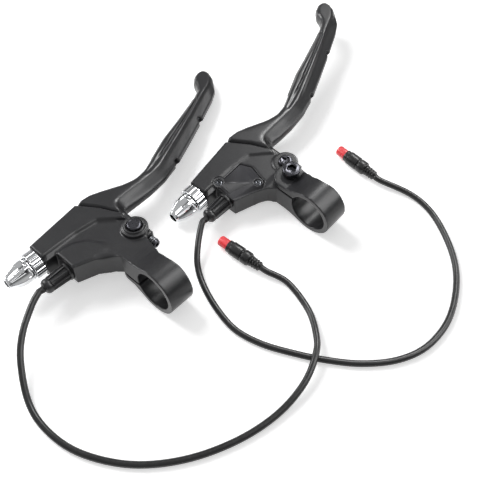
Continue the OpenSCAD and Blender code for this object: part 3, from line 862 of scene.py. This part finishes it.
@dataclass(frozen=True)
class StudioCamera:
    """The photograph's camera, in metres and degrees."""

    aim: Point = (0.0289, -0.0674, 0.0)
    elevation: float = 57.1
    distance: float = 0.408
    lens: float = 53.86
    sensor: float = 36.0

    def build(self) -> bpy.types.Object:
        """Makes the camera and sets it as the scene's."""
        data = bpy.data.cameras.new("studio_camera")
        data.sensor_fit = "AUTO"
        data.sensor_width = self.sensor
        data.lens = self.lens
        data.clip_start, data.clip_end = 0.01, 20
        camera = bpy.data.objects.new("studio_camera", data)
        bpy.context.scene.collection.objects.link(camera)
        raised = math.radians(self.elevation)
        back = Vector((0, -math.cos(raised), math.sin(raised)))
        camera.location = Vector(self.aim) + back * self.distance
        camera.rotation_mode = "QUATERNION"
        camera.rotation_quaternion = (-back).to_track_quat("-Z", "Y")
        bpy.context.scene.camera = camera
        bpy.context.view_layer.update()
        return camera


def photo_point(camera: bpy.types.Object, place: Vector) -> tuple[float, float]:
    """Says where a place in the row frame shows in the photograph.

    Args:
        camera: The studio camera.
        place: Point in metres.

    Returns:
        Its x and y in pixels.
    """
    data = camera.data
    long_side = max(PHOTO_W, PHOTO_H)
    seen = camera.matrix_world.inverted() @ place
    reach = long_side * data.lens / data.sensor_width / -seen.z
    x = PHOTO_W / 2 - data.shift_x * long_side + seen.x * reach
    y = PHOTO_H / 2 + data.shift_y * long_side - seen.y * reach
    return x, y


@dataclass(frozen=True)
class ImagePoint:
    """A named point of the photograph, and the piece whose showing vertices it reads."""

    name: str
    piece: str
    edge: Edge
    x: float | None = None
    y: float | None = None

    def read(self, shown: Sequence[tuple[float, float]]) -> tuple[float, float]:
        """Reads the place of the feature from the piece's showing vertices.

        Args:
            shown: Photograph places of the vertices that show.

        Returns:
            The feature's x and y.
        """
        keys = {
            Edge.LEFT: lambda p: p[0],
            Edge.RIGHT: lambda p: -p[0],
            Edge.TOP: lambda p: p[1],
            Edge.BOTTOM: lambda p: -p[1],
        }
        if self.edge is not Edge.MIDDLE:
            return min(shown, key=keys[self.edge])
        xs, ys = [p[0] for p in shown], [p[1] for p in shown]
        return (min(xs) + max(xs)) / 2, (min(ys) + max(ys)) / 2


IMAGE_POINTS = (
    ImagePoint("left end of the pair", "left_barrel_adjuster_chromed", Edge.LEFT, x=1.7),
    ImagePoint("left tip, top", "left_blade_forged", Edge.TOP, x=204.2, y=69.2),
    ImagePoint("left tip, right", "left_blade_forged", Edge.RIGHT, x=214.1, y=91.2),
    ImagePoint("left clamp, bottom", "left_housing_cast", Edge.BOTTOM, x=170.5, y=312.8),
    ImagePoint("left clamp, right", "left_housing_cast", Edge.RIGHT, x=192.9, y=294.5),
    ImagePoint("left pivot head", "left_pivot_head", Edge.MIDDLE, x=133.4, y=225.2),
    ImagePoint("right clamp bolt", "right_clamp_bolt_turned", Edge.MIDDLE, x=291.8, y=170.5),
    ImagePoint("left red tip", "left_plug_insert_moulded", Edge.LEFT, x=217.0),
    ImagePoint("right red tip", "right_plug_insert_moulded", Edge.LEFT, x=335.5),
)


def write_points(camera: bpy.types.Object) -> None:
    """Args:
        camera: The studio camera.
    """
    shown_objects = [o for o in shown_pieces() if o.type == "MESH"]
    corners: list[Vector] = []
    faces: list[list[int]] = []
    for piece in shown_objects:
        first = len(corners)
        corners += [piece.matrix_world @ v.co for v in piece.data.vertices]
        faces += [[first + i for i in p.vertices] for p in piece.data.polygons]
    tree = BVHTree.FromPolygons(corners, faces)
    eye = camera.matrix_world.translation
    for point in IMAGE_POINTS:
        piece = bpy.data.objects.get(point.piece)
        if piece is None:
            continue
        shown = []
        for vertex in piece.data.vertices:
            place = piece.matrix_world @ vertex.co
            sight = place - eye
            hit, _, _, reach = tree.ray_cast(eye, sight.normalized())
            if hit is None or reach > sight.length - 0.0003:
                shown.append(photo_point(camera, place))
        if not shown:
            continue
        x, y = point.read(shown)


# ---------------------------------------------------------------- cords


PAIR_SHIFT = Vector((28.9, -67.4, 0.0))
LIE = 1.75


@dataclass
class SwitchCord:
    """One switch cord, from its gland to its connector. The route repeats part.scad's, in mm."""

    lever: LeverFrame
    route: list[Point]
    plug_at: Point
    plug_turn: float
    diameter: float = 3.5
    plug_length: float = 28.0
    gland_end: Point = (-46.1, 40.5, -1.7)
    sides: int = 20

    def line(self) -> list[Vector]:
        """Works out the points that the cord follows.

        Returns:
            Points in metres, from the gland to the connector.
        """
        matrix = self.lever.matrix()
        start = matrix @ Vector(self.gland_end)
        out = (matrix.to_3x3() @ Vector((-1, 0, 0))).normalized()
        turn = math.radians(self.plug_turn)
        plug_dir = Vector((math.cos(turn), math.sin(turn), 0))
        end = (Vector(self.plug_at) + PAIR_SHIFT + self.plug_length * plug_dir) * MM
        middle = [(Vector(p) + PAIR_SHIFT) * MM for p in self.route]
        return [start, start + out * 2 * MM, *middle, end + plug_dir * 4 * MM, end]

    def build(self) -> bpy.types.Object:
        """Returns:
            The cord.
        """
        points = fine_line(self.line(), 6)
        name = f"{self.lever.side.value}_switch_cord"
        piece = tube_along(name, points, self.diameter / 2 * MM, self.sides)
        length = sum((b - a).length for a, b in zip(points, points[1:]))
        finish_piece(piece, self.lever, "cord", CORD_JACKET, 60)
        log.info("%s is %.1f mm long", name, length / MM)
        self.points, self.length = points, length
        return piece

    def declare(self, piece: bpy.types.Object, connector: Sequence[bpy.types.Object]) -> None:
        """Takes the cord with the connector pieces on its end, and does nothing with them.

        Args:
            piece: The cord. Not used.
            connector: Pieces at its far end. Not used.
        """


def fine_line(points: Sequence[Vector], steps: int) -> list[Vector]:
    """Puts further points on a smooth curve through the given ones.

    Args:
        points: Points to pass through.
        steps: Steps between two of them.

    Returns:
        The finer line.
    """
    fine = []
    last = len(points) - 1
    for i in range(last):
        a, b = points[max(i - 1, 0)], points[i]
        c, d = points[i + 1], points[min(i + 2, last)]
        for k in range(steps):
            t = k / steps
            fine.append(
                0.5
                * (
                    2 * b
                    + (c - a) * t
                    + (2 * a - 5 * b + 4 * c - d) * t * t
                    + (3 * b - a - 3 * c + d) * t**3
                )
            )
    return [*fine, points[-1].copy()]


def tube_along(name: str, points: Sequence[Vector], radius: float, sides: int) -> bpy.types.Object:
    """Makes a closed round tube along a line, from a curve with a round bevel.

    Args:
        name: Name of the piece.
        points: Points of its middle line.
        radius: Its radius.
        sides: Sides of its section, a multiple of four.

    Returns:
        A mesh object.
    """
    data = bpy.data.curves.new(name, "CURVE")
    data.dimensions = "3D"
    data.bevel_depth = radius
    data.bevel_resolution = sides // 4 - 1
    data.use_fill_caps = True
    spline = data.splines.new("POLY")
    spline.points.add(len(points) - 1)
    for item, place in zip(spline.points, points):
        item.co = (*place, 1.0)
    piece = bpy.data.objects.new(name, data)
    bpy.context.scene.collection.objects.link(piece)
    take(piece)
    bpy.ops.object.convert(target="MESH")
    piece = bpy.context.object
    mend_normals(piece)
    return piece


LEFT_ROUTE = [
    (-104, -43, 15), (-107, -56, 12), (-107, -69, 8), (-102, -87, 3), (-93, -100, LIE),
    (-78, -111, LIE), (-59, -117, LIE), (-40, -118, LIE), (-19, -114, LIE), (2, -105, LIE),
    (19, -93, 2.4), (31, -79, 4.2), (37, -65, 5.8), (38, -54, 4.8), (35, -38, 2), (25, -22, 2.2),
]
RIGHT_ROUTE = [
    (-22, 6, 8.2), (-23, -2, 5.8), (-23, -11, 3), (-20, -22, LIE), (-13, -36, LIE),
    (-3, -49, LIE), (10, -57, LIE), (25, -62, LIE), (42, -66, LIE), (60, -68, LIE),
    (78, -66, LIE), (93, -59, LIE), (105, -46, LIE), (112, -30, LIE), (115, -12, LIE),
    (113, 6, LIE), (107, 24, LIE), (97, 36, 2.4),
]
CORDS = (
    SwitchCord(LEVERS[0], LEFT_ROUTE, (-11, 4, 3.9), -38.7),
    SwitchCord(LEVERS[1], RIGHT_ROUTE, (58, 68, 3.9), -46),
)


# ---------------------------------------------------------------- sub-assemblies


@dataclass
class CastHousing:
    """The cast housing: clamp band, arm, switch pod, front box and pivot ears in one piece."""

    voxel: float = 0.32
    rounds: int = 5
    arm_out: float = 1.6
    ring_in: float = 1.0
    ridge_at: Point = (-4, 45, 0)
    ridge_reach: float = 26
    ridge_rounds: int = 26
    leaf_at: Point = (-10.4, 30.2, 7.2)
    leaf_core: float = 2.4
    leaf_fade: float = 3.0
    leaf_rounds: int = 300

    def build(self) -> None:
        """Turns the sharp solid into a softly rounded casting on both levers."""
        blank = blank_from_frame("housing")
        soften(blank, self.voxel, 1)
        nudge(blank, self.arm_out, self.arm_side)
        nudge(blank, -self.ring_in, self.ring_side)
        zones = [(self.ridge, self.ridge_rounds), (self.leaf_tip, self.leaf_rounds)]
        soften(blank, 0, self.rounds, zones)
        fit_to_levers(blank, "housing", "housing_cast", CASTING_ENAMEL, smooth=180)

    def leaf_tip(self, place: Vector) -> float:
        """Weight of the extra smoothing where the raised leaf on the pod runs out."""
        return self.leaf_core - (place - Vector(self.leaf_at)).length / self.leaf_fade

    @staticmethod
    def arm_side(place: Vector) -> float:
        """Weight of filling out the arm's outer side below the pivot."""
        along = ramp(place.y, [(7, 0), (11.5, 1), (16, 1), (20.5, 0)])
        return along * ramp(place.x, [(3.2, 0), (5.2, 1)])

    @staticmethod
    def ring_side(place: Vector) -> float:
        """Weight of drawing in the outer side of the clamp ring."""
        return ramp(place.y, [(1, 1), (6, 0)]) * ramp(place.x, [(2.5, 0), (6, 1)])

    def ridge(self, place: Vector) -> float:
        """Weight of the extra smoothing, which is strongest where the ridge flows to the neck."""
        away = (Vector((place.x, place.y, 0)) - Vector(self.ridge_at)).length
        near = ramp(away, [(0, 1), (self.ridge_reach, 0)])
        return near * ramp(abs(place.z), [(3.0, 0), (4.5, 1)])


@dataclass
class ForgedBlade:
    """The blade, with its grip strip and the two screws that hold the strip."""

    voxel: float = 0.42
    rounds: int = 4
    nose_rounds: int = 110
    screws_at: tuple[tuple[float, float], ...] = ((59.8, 54.6), (93.7, 69.2))
    screw_turn: float = 23.3
    half_thick: float = 7.3
    taper: float = 0.00290
    border_height: float = 6.75
    border_radius: float = 0.8
    border: tuple[tuple[float, float], ...] = (
        (40.0, 55.4), (46.0, 57.0), (55.7, 60.4), (68.0, 65.4), (81.0, 70.7), (92.0, 75.3),
        (101.0, 79.2), (103.4, 81.2), (103.6, 84.0),
    )

    def build(self) -> None:
        """Makes the blade, the strip and the screws on both levers."""
        blank = blank_from_frame("blade")
        rings = [(0.3, 2.4), (1.6, 2.6), (3.0, 3.0)]
        dish = turn_on_lathe("screw_dish", 2.3, 0.7, rings, 48, -0.6)
        combine(blank, repeat_at(dish, self.places()))
        for face in (1, -1):
            line = [Vector((x, y, face * self.border_z(x))) for x, y in self.border]
            combine(blank, tube_along("strip_border", line, self.border_radius, 12))
        soften(blank, self.voxel, self.rounds, [(self.nose, self.nose_rounds)])
        fit_to_levers(blank, "blade", "blade_forged", BLADE_ENAMEL, smooth=180)
        strip = blank_from_frame("grip_inlay")
        round_edges(strip, 0.35, 3)
        fit_to_levers(strip, "grip_inlay", "grip_strip", GRIP_RUBBER, smooth=35)
        self.screws()

    def border_z(self, x: float) -> float:
        """Height of the border groove's middle line, which follows the blade's taper."""
        return self.border_height - self.half_thick * self.taper * x

    @staticmethod
    def nose(place: Vector) -> float:
        """Weight of the extra smoothing where the blade leaves the housing."""
        return ramp(place.x, [(9, 0), (13, 1), (50, 1), (58, 0)])

    def places(self) -> list[Matrix]:
        """Gives the places of the two strip screws, heads outward."""
        turn = Matrix.Rotation(math.radians(self.screw_turn), 4, "Z")
        stand = turn @ Matrix.Rotation(math.radians(90), 4, "X")
        return [Matrix.Translation((x, y, 0)) @ stand for x, y in self.screws_at]

    def screws(self) -> None:
        """Makes the two screws that hold the strip from the blade's inner side."""
        rings = [(-1.4, 2.0), (-0.35, 2.0), (-0.1, 1.8), (0, 1.5)]
        screw = turn_on_lathe("strip_screw", 1.0, 7.2, rings, 24, -8.6)
        cut_drive(screw, Drive.CROSS, 2.4, 0, 0.7)
        fit_to_levers(
            repeat_at(screw, self.places()), "inlay_screws", "strip_screws_turned", BLACK_ZINC,
            smooth=30,
        )


@dataclass
class CableAdjuster:
    """The fluted barrel adjuster and its lock nut, both chromed, on the cable's axis."""

    radius: float = 6.7
    length: float = 14.0
    cable_y: float = 55.5
    barrel_x: float = -42.2
    nut_x: float = -42.1
    flutes: int = 6

    def build(self) -> None:
        """Makes the barrel and the nut on both levers."""
        self.barrel()
        self.nut()

    def barrel(self) -> None:
        """Turns the bullet shape, with hollow flutes that taper to the tip's round rim."""
        r = self.radius
        body = start_round("barrel_flutes", r, 0.8, 96, (0, 0, 1.4))
        combine(body, ring_of(start_round("flute", 5.0, 3, 64, (r + 3.74, 0, 0.4)), self.flutes))
        profile = [
            (0.30, r), (0.42, r - 0.2), (0.54, r - 0.6), (0.66, r - 1.2), (0.78, r - 2.0),
            (0.88, r - 2.85), (0.93, r - 3.3),
        ]
        draw_out(body, [(share * self.length, ring) for share, ring in profile], (2.2, r))
        shoulder = [
            (0, r - 0.7), (0.2, r - 0.2), (0.6, r), (1.5, r), (1.9, r - 0.4), (1.9, r - 2.5),
        ]
        foot = turn_on_lathe("barrel_foot", 4.0, 17.1, shoulder, foot=-17.1)
        combine(body, foot, "UNION")
        rim = start_round("barrel_rim", 3.35, 1.6, 64, (0, 0, self.length - 1.6))
        combine(body, rim, "UNION")
        combine(body, start_round("casing_seat", 2.55, 8, 48, (0, 0, self.length - 7)))
        soften(body, 0.21, 6)
        fit_to_levers(
            body, "barrel_adjuster", "barrel_adjuster_chromed", CHROME_PLATE,
            along_x((self.barrel_x, self.cable_y, 0), away=True), smooth=180,
        )

    def nut(self) -> None:
        """Makes the lock nut with its wide lands."""
        nut = start_round("lock_nut_blank", 7.5, 6, 96)
        combine(nut, ring_of(start_round("groove", 0.85, 8, 16, (7.9, 0, -1)), 16))
        combine(nut, start_round("thread", 4.05, 8, 48, (0, 0, -1)))
        soften(nut, 0.2, 3)
        fit_to_levers(
            nut, "lock_nut", "lock_nut_chromed", CHROME_PLATE,
            along_x((self.nut_x, self.cable_y, 0)), smooth=180,
        )


@dataclass
class PivotAndClamp:
    """The pivot pin with its screw, the clamp bolt and the adjusting screw at the arm."""

    pivot: tuple[float, float] = (8.9, 30.0)
    bolt_at: Point = (2.5, 20.5, -12.6)
    adjust_at: Point = (12.1, 17.5, 0.0)
    coil_radius: float = 2.35
    coil_foot: float = 2.8
    coil_height: float = 2.0
    coil_turns: int = 3
    coil_steps: int = 24
    wire_radius: float = 0.25

    def build(self) -> None:
        """Makes the turned parts on both levers."""
        self.pin()
        self.bolt()
        self.adjuster()

    def pin(self) -> None:
        """Makes the pin with its flat head on top, and the screw that closes it below."""
        x, y = self.pivot
        rings = [
            (8.0, 3.0), (8.0, 3.9), (9.2, 3.95), (9.8, 3.8), (10.15, 3.35), (10.2, 3.0),
            (10.0, 2.8),
        ]
        pin = turn_on_lathe("pivot_pin_blank", 3.0, 15.8, rings, foot=-7.9)
        combine(pin, start_round("screw_hole", 2.05, 8, 32, (0, 0, -9)))
        fit_to_levers(
            pin, "pivot_pin", "pivot_head", BLACK_OXIDE,
            Matrix.Translation((x, y, 0)),
        )
        rings = [(0, 3.95), (1.0, 3.95), (1.5, 3.7), (1.8, 3.1)]
        screw = turn_on_lathe("pivot_screw_blank", 2.0, 6, rings, 48, -6)
        cut_drive(screw, Drive.CROSS, 4.8, 1.8, 1.1)
        round_edges(screw, 0.12, 2, 40)
        fit_to_levers(
            screw, "pivot_screw", "pivot_screw_turned", BLACK_OXIDE,
            Matrix.Translation((x, y, -8)) @ DOWN,
        )

    def bolt(self) -> None:
        """Makes the clamp bolt with its socket head under the lug."""
        rings = [(0, 4.7), (0.25, 4.9), (3.7, 4.9), (4.1, 4.7), (4.3, 4.3)]
        bolt = turn_on_lathe("clamp_bolt_blank", 2.5, 14.2, rings, 48, -14.2)
        cut_drive(bolt, Drive.HEXAGON, 4.6, 4.3, 2.6)
        round_edges(bolt, 0.12, 2, 40)
        fit_to_levers(
            bolt, "clamp_bolt", "clamp_bolt_turned", BLACK_OXIDE,
            Matrix.Translation(self.bolt_at) @ DOWN,
        )

    def adjuster(self) -> None:
        """Makes the adjusting screw, its washer and its spring, heads towards the handlebar."""
        place = Matrix.Translation(self.adjust_at) @ Matrix.Rotation(-math.pi / 2, 4, "X")
        screw = start_round("adjust_screw_blank", 1.8, 4.3, 32, (0, 0, 1.8))
        draw_out(screw, [(1.8, 2.5), (0.8, 2.5), (0.3, 2.2), (0, 1.6)], (1.8, 1.8), up=False)
        combine(screw, start_round("key", 1.2, 2, 6, (0, 0, -1)))
        fit_to_levers(
            screw, "adjust_screw", "adjust_screw_turned", BLACK_OXIDE, place
        )
        washer = start_round("adjust_washer_blank", 2.8, 0.7, 48, (0, 0, 1.8))
        combine(washer, start_round("hole", 1.85, 3, 32, (0, 0, 1)))
        round_edges(washer, 0.12)
        fit_to_levers(
            washer, "adjust_washer", "adjust_washer_pressed", ZINC_PLATE, place,
            smooth=35,
        )
        fit_to_levers(
            self.coil(), "adjust_spring", "adjust_spring_wound", SPRING_WIRE,
            place, smooth=80,
        )

    def coil(self) -> bpy.types.Object:
        """Winds the adjusting screw's spring about the Z axis, from under the washer."""
        count = self.coil_turns * self.coil_steps
        helix = []
        for k in range(count + 1):
            turn = math.tau * k / self.coil_steps
            x, y = self.coil_radius * math.cos(turn), self.coil_radius * math.sin(turn)
            helix.append(Vector((x, y, self.coil_foot + self.coil_height * k / count)))
        return tube_along("adjust_spring_blank", helix, self.wire_radius, 12)


@dataclass
class SwitchPod:
    """The cover under the switch, its two screws, and the ribbed gland nut of the cord."""

    screws_at: tuple[tuple[float, float], ...] = ((-25.5, 48.8), (-11.4, 32.6))
    gland_at: Point = (-29.0, 40.5, -1.7)

    def build(self) -> None:
        """Makes the moulded parts and the screws on both levers."""
        self.cover()
        self.screws()
        self.gland()

    def cover(self) -> None:
        """Rounds the cover's edges and slopes the strip along its outer side."""
        cover = blank_from_frame("switch_cover")
        slope = start_block("slope", (60, 12, 3), (0, -6, -1.5))
        slope.data.transform(
            Matrix.Translation((-24.4, 38.6, -7.0))
            @ Matrix.Rotation(math.radians(-18.5), 4, "Z")
            @ Matrix.Rotation(math.radians(-9.0), 4, "X")
        )
        keep = start_round("boss", 3.4, 8, 48, (*self.screws_at[1], -9))
        combine(slope, keep)
        combine(cover, slope)
        round_edges(cover, 0.3, 3, 25)
        fit_to_levers(cover, "switch_cover", "switch_cover_moulded", COVER_ABS)

    def screws(self) -> None:
        """Makes the two cover screws."""
        rings = [(0, 2.2), (0.55, 2.2), (0.9, 1.9), (1.1, 1.4)]
        screw = turn_on_lathe("cover_screw", 1.05, 5, rings, 24, -5)
        cut_drive(screw, Drive.CROSS, 2.7, 1.1, 0.8)
        round_edges(screw, 0.08, 2, 40)
        places = [Matrix.Translation((x, y, -6.1)) @ DOWN for x, y in self.screws_at]
        fit_to_levers(
            repeat_at(screw, places), "cover_screws", "cover_screws_turned", BLACK_ZINC,
            smooth=30,
        )

    def gland(self) -> None:
        """Makes the gland nut: flange, tapered ribs and a rounded end."""
        rings = [
            (0, 4.95), (0.25, 5.2), (1.3, 5.2), (1.6, 4.95), (1.7, 3.8), (11.4, 3.3),
            (12.0, 3.9), (12.6, 4.05), (13.6, 4.05), (14.5, 3.8), (15.2, 3.2), (15.5, 2.5),
        ]
        nut = turn_on_lathe("gland_nut_blank", 3.0, 2.6, rings, foot=-2.6)
        rib = start_block("rib", (2.2, 0.85, 10.6), (0, 0, 6.5))
        round_edges(rib, 0.25, 3)
        rib.data.transform(
            Matrix.Translation((3.8, 0, 0)) @ Matrix.Rotation(math.radians(-3.6), 4, "Y")
        )
        combine(nut, ring_of(rib, 10), "UNION")
        combine(nut, start_round("cord_hole", 1.85, 20, 48, (0, 0, -3)))
        round_edges(nut, 0.1, 2, 35)
        fit_to_levers(
            nut, "gland_nut", "gland_nut_moulded", NYLON,
            along_x(self.gland_at, away=True),
        )


@dataclass
class Connector:
    """The round connector on the end of a cord: coral insert, collar and ribbed body."""

    cord: SwitchCord

    def build(self) -> list[bpy.types.Object]:
        """Makes the three moulded pieces of one connector.

        Returns:
            The pieces, without the pins, which stay as they are in the frame.
        """
        insert = turn_on_lathe("insert", 2.95, 5.1, [(6, 1.55), (8.9, 1.55)], foot=0.9)
        mouth = [(0.4, 2.8), (0.1, 2.5), (0, 2.2), (0, 1.95), (5, 1.95)]
        draw_out(insert, mouth, (0.9, 2.95), up=False)
        combine(insert, start_block("key_way", (2, 0.9, 10), (3.5, 0, 0)))
        collar = turn_on_lathe("collar", 3.45, 1.8, [(8, 3.45)], foot=6)
        combine(collar, start_round("bore", 1.65, 6, 48, (0, 0, 5)))
        round_edges(collar, 0.18)
        body = turn_on_lathe("body", 3.6, 0.3, self.body_rings(), foot=8)
        combine(body, start_round("bore", 1.6, 2.0, 48, (0, 0, 7)))
        round_edges(body, 0.12, 2, 40)
        return [
            self.set_down(insert, "plug_insert", CORAL_PC),
            self.set_down(collar, "plug_collar", NYLON),
            self.set_down(body, "plug_body", PLUG_TPE),
        ]

    @staticmethod
    def body_rings() -> list[tuple[float, float]]:
        """Height and radius of the body's rings: barrel, groove, and four relief ribs."""
        rings = [(8.6, 3.9), (15.1, 3.9), (15.3, 3.2), (16.1, 3.2), (16.3, 3.9), (19.8, 3.9),
                 (20.5, 3.6), (21.0, 3.0)]
        for k in range(4):
            foot, crest = 21.2 + 1.65 * k, 3.0 - 0.1 * k
            rings += [(foot, 2.35), (foot + 0.3, crest), (foot + 1.0, crest), (foot + 1.3, 2.3)]
        return [*rings, (28.0, 1.8)]

    def set_down(
        self, blank: bpy.types.Object, part: str, finish: Finish
    ) -> bpy.types.Object:
        """Lays a blank down on the floor at the cord's end and dresses it.

        Args:
            blank: Piece in millimetres, made about the Z axis.
            part: Name of the CAD part that it stands for.
            finish: Its finish.

        Returns:
            The placed piece.
        """
        cord = self.cord
        place = (
            Matrix.Translation((Vector(cord.plug_at) + PAIR_SHIFT) * MM)
            @ Matrix.Rotation(math.radians(cord.plug_turn), 4, "Z")
            @ Matrix.Rotation(math.radians(90), 4, "Y")
            @ Matrix.Scale(MM, 4)
        )
        blank.data.transform(place)
        blank.name = f"{cord.lever.node(part)}_moulded"
        mend_normals(blank)
        finish_piece(blank, cord.lever, part, finish, 40)
        return blank


def dress_frame_nodes() -> None:
    """Gives every CAD node that still shows its own finish."""
    for lever in LEVERS:
        for part, finish in SHOWN_NODES.items():
            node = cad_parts[lever.node(part)]
            if not node.material_slots:
                node.data.materials.append(None)
            for held in node.material_slots:
                held.material = finish.make()


# ---------------------------------------------------------------- studio


@dataclass(frozen=True)
class Lamp:
    """A rectangular lamp that looks at the middle of the floor, in metres and watts.

    The name in unseen is the kind of ray that doesn't meet the lamp.
    """

    name: str
    at: Point
    size: tuple[float, float]
    power: float
    unseen: str = "visible_diffuse"

    def hang(self) -> None:
        """Hangs the lamp."""
        data = bpy.data.lights.new(self.name, "AREA")
        data.shape = "RECTANGLE"
        data.size, data.size_y = self.size
        data.energy = self.power
        lamp = bpy.data.objects.new(self.name, data)
        bpy.context.scene.collection.objects.link(lamp)
        lamp.location = self.at
        lamp.rotation_mode = "QUATERNION"
        lamp.rotation_quaternion = Vector(self.at).to_track_quat("Z", "Y")
        setattr(lamp, self.unseen, False)


LAMPS = (
    # The soft lamp that throws the shadows to the lower right.
    Lamp("soft_key", (-0.50, 0.38, 0.68), (0.5, 0.5), 8.0, "visible_glossy"),
    # The strip box that only draws highlights on slopes which face right.
    Lamp("strip_box", (0.72, -0.12, 0.72), (0.3, 0.9), 5.0),
    # The card that draws highlights on the chrome and on slopes to the left.
    Lamp("left_card", (-0.80, 0.30, 0.50), (0.55, 0.30), 6.0),
    # The low card that the leaning inner walls of the blades reflect.
    Lamp("right_card", (0.95, 0.20, 0.14), (0.60, 0.25), 1.8),
    # The card that lifts the right lever's top faces above the left one's.
    Lamp("back_card", (0.33, 0.60, 0.86), (0.30, 0.30), 6.5),
)


@dataclass(frozen=True)
class Studio:
    """White sweep and pale surround, with the lamps hung round them."""

    lamps: tuple[Lamp, ...] = LAMPS
    surround: float = 0.50
    rim: float = 0.12
    floor_lift: float = 0.48
    floor_size: float = 6.0
    floor_drop: float = 0.0001

    def build(self) -> None:
        """Makes the floor, the world and the lamps."""
        self.floor()
        self.world()
        for lamp in self.lamps:
            lamp.hang()

    def floor(self) -> None:
        """Lays the floor, whose colour reaches white where no shadow falls."""
        clear_selection()
        bpy.ops.mesh.primitive_plane_add(size=self.floor_size, location=(0, 0, -self.floor_drop))
        floor = bpy.context.object
        floor.name = "studio_floor"
        bpy.ops.object.transform_apply(location=True, rotation=True, scale=True)
        material = bpy.data.materials.new("white_paper_sweep")
        tree = empty_tree(material)
        paper = add_node(
            tree, "ShaderNodeBsdfDiffuse", {"Color": linear("#f4f4f4"), "Roughness": 0.0}
        ).outputs["BSDF"]
        ray = add_node(tree, "ShaderNodeLightPath").outputs
        seen = compute(tree, "MAXIMUM", ray["Is Camera Ray"], ray["Is Glossy Ray"])
        power = compute(tree, "MULTIPLY", seen, self.floor_lift)
        lift = add_node(tree, "ShaderNodeEmission", {"Strength": power}).outputs["Emission"]
        both = add_node(tree, "ShaderNodeAddShader", {0: paper, 1: lift}).outputs[0]
        add_node(tree, "ShaderNodeOutputMaterial", {"Surface": both})
        floor.data.materials.append(material)
        floor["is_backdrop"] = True

    def world(self) -> None:
        """Lights the scene from a pale dome with a dark rim, and shows white to the camera."""
        world = bpy.data.worlds.new("pale_surround")
        bpy.context.scene.world = world
        tree = empty_tree(world)
        ray = add_node(tree, "ShaderNodeLightPath").outputs
        place = add_node(tree, "ShaderNodeTexCoord").outputs["Generated"]
        height = add_node(tree, "ShaderNodeSeparateXYZ", {"Vector": place}).outputs["Z"]
        levels = {"From Min": 0.15, "From Max": 0.75, "To Min": self.rim, "To Max": self.surround}
        dome = add_node(
            tree, "ShaderNodeMapRange", {"Value": height, **levels}, interpolation_type="SMOOTHSTEP"
        ).outputs["Result"]
        power = compute(tree, "MAXIMUM", ray["Is Camera Ray"], dome)
        light = add_node(
            tree, "ShaderNodeBackground", {"Color": (1.0, 1.0, 1.0, 1.0), "Strength": power}
        ).outputs["Background"]
        add_node(tree, "ShaderNodeOutputWorld", {"Surface": light})


def settle_view() -> None:
    """Keeps colours as they are written."""
    bpy.context.scene.view_settings.view_transform = "Standard"


def main() -> None:
    """Builds the sub-assemblies in order, then the studio, and reads where the image points show.
    """
    camera = StudioCamera().build()
    cords = [(cord, cord.build()) for cord in CORDS]
    CastHousing().build()
    ForgedBlade().build()
    CableAdjuster().build()
    PivotAndClamp().build()
    SwitchPod().build()
    for cord, piece in cords:
        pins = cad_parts[cord.lever.node("plug_contacts")]
        cord.declare(piece, [*Connector(cord).build(), pins])
    dress_frame_nodes()
    Studio().build()
    settle_view()
    write_points(camera)


if __name__ == "__main__":
    main()
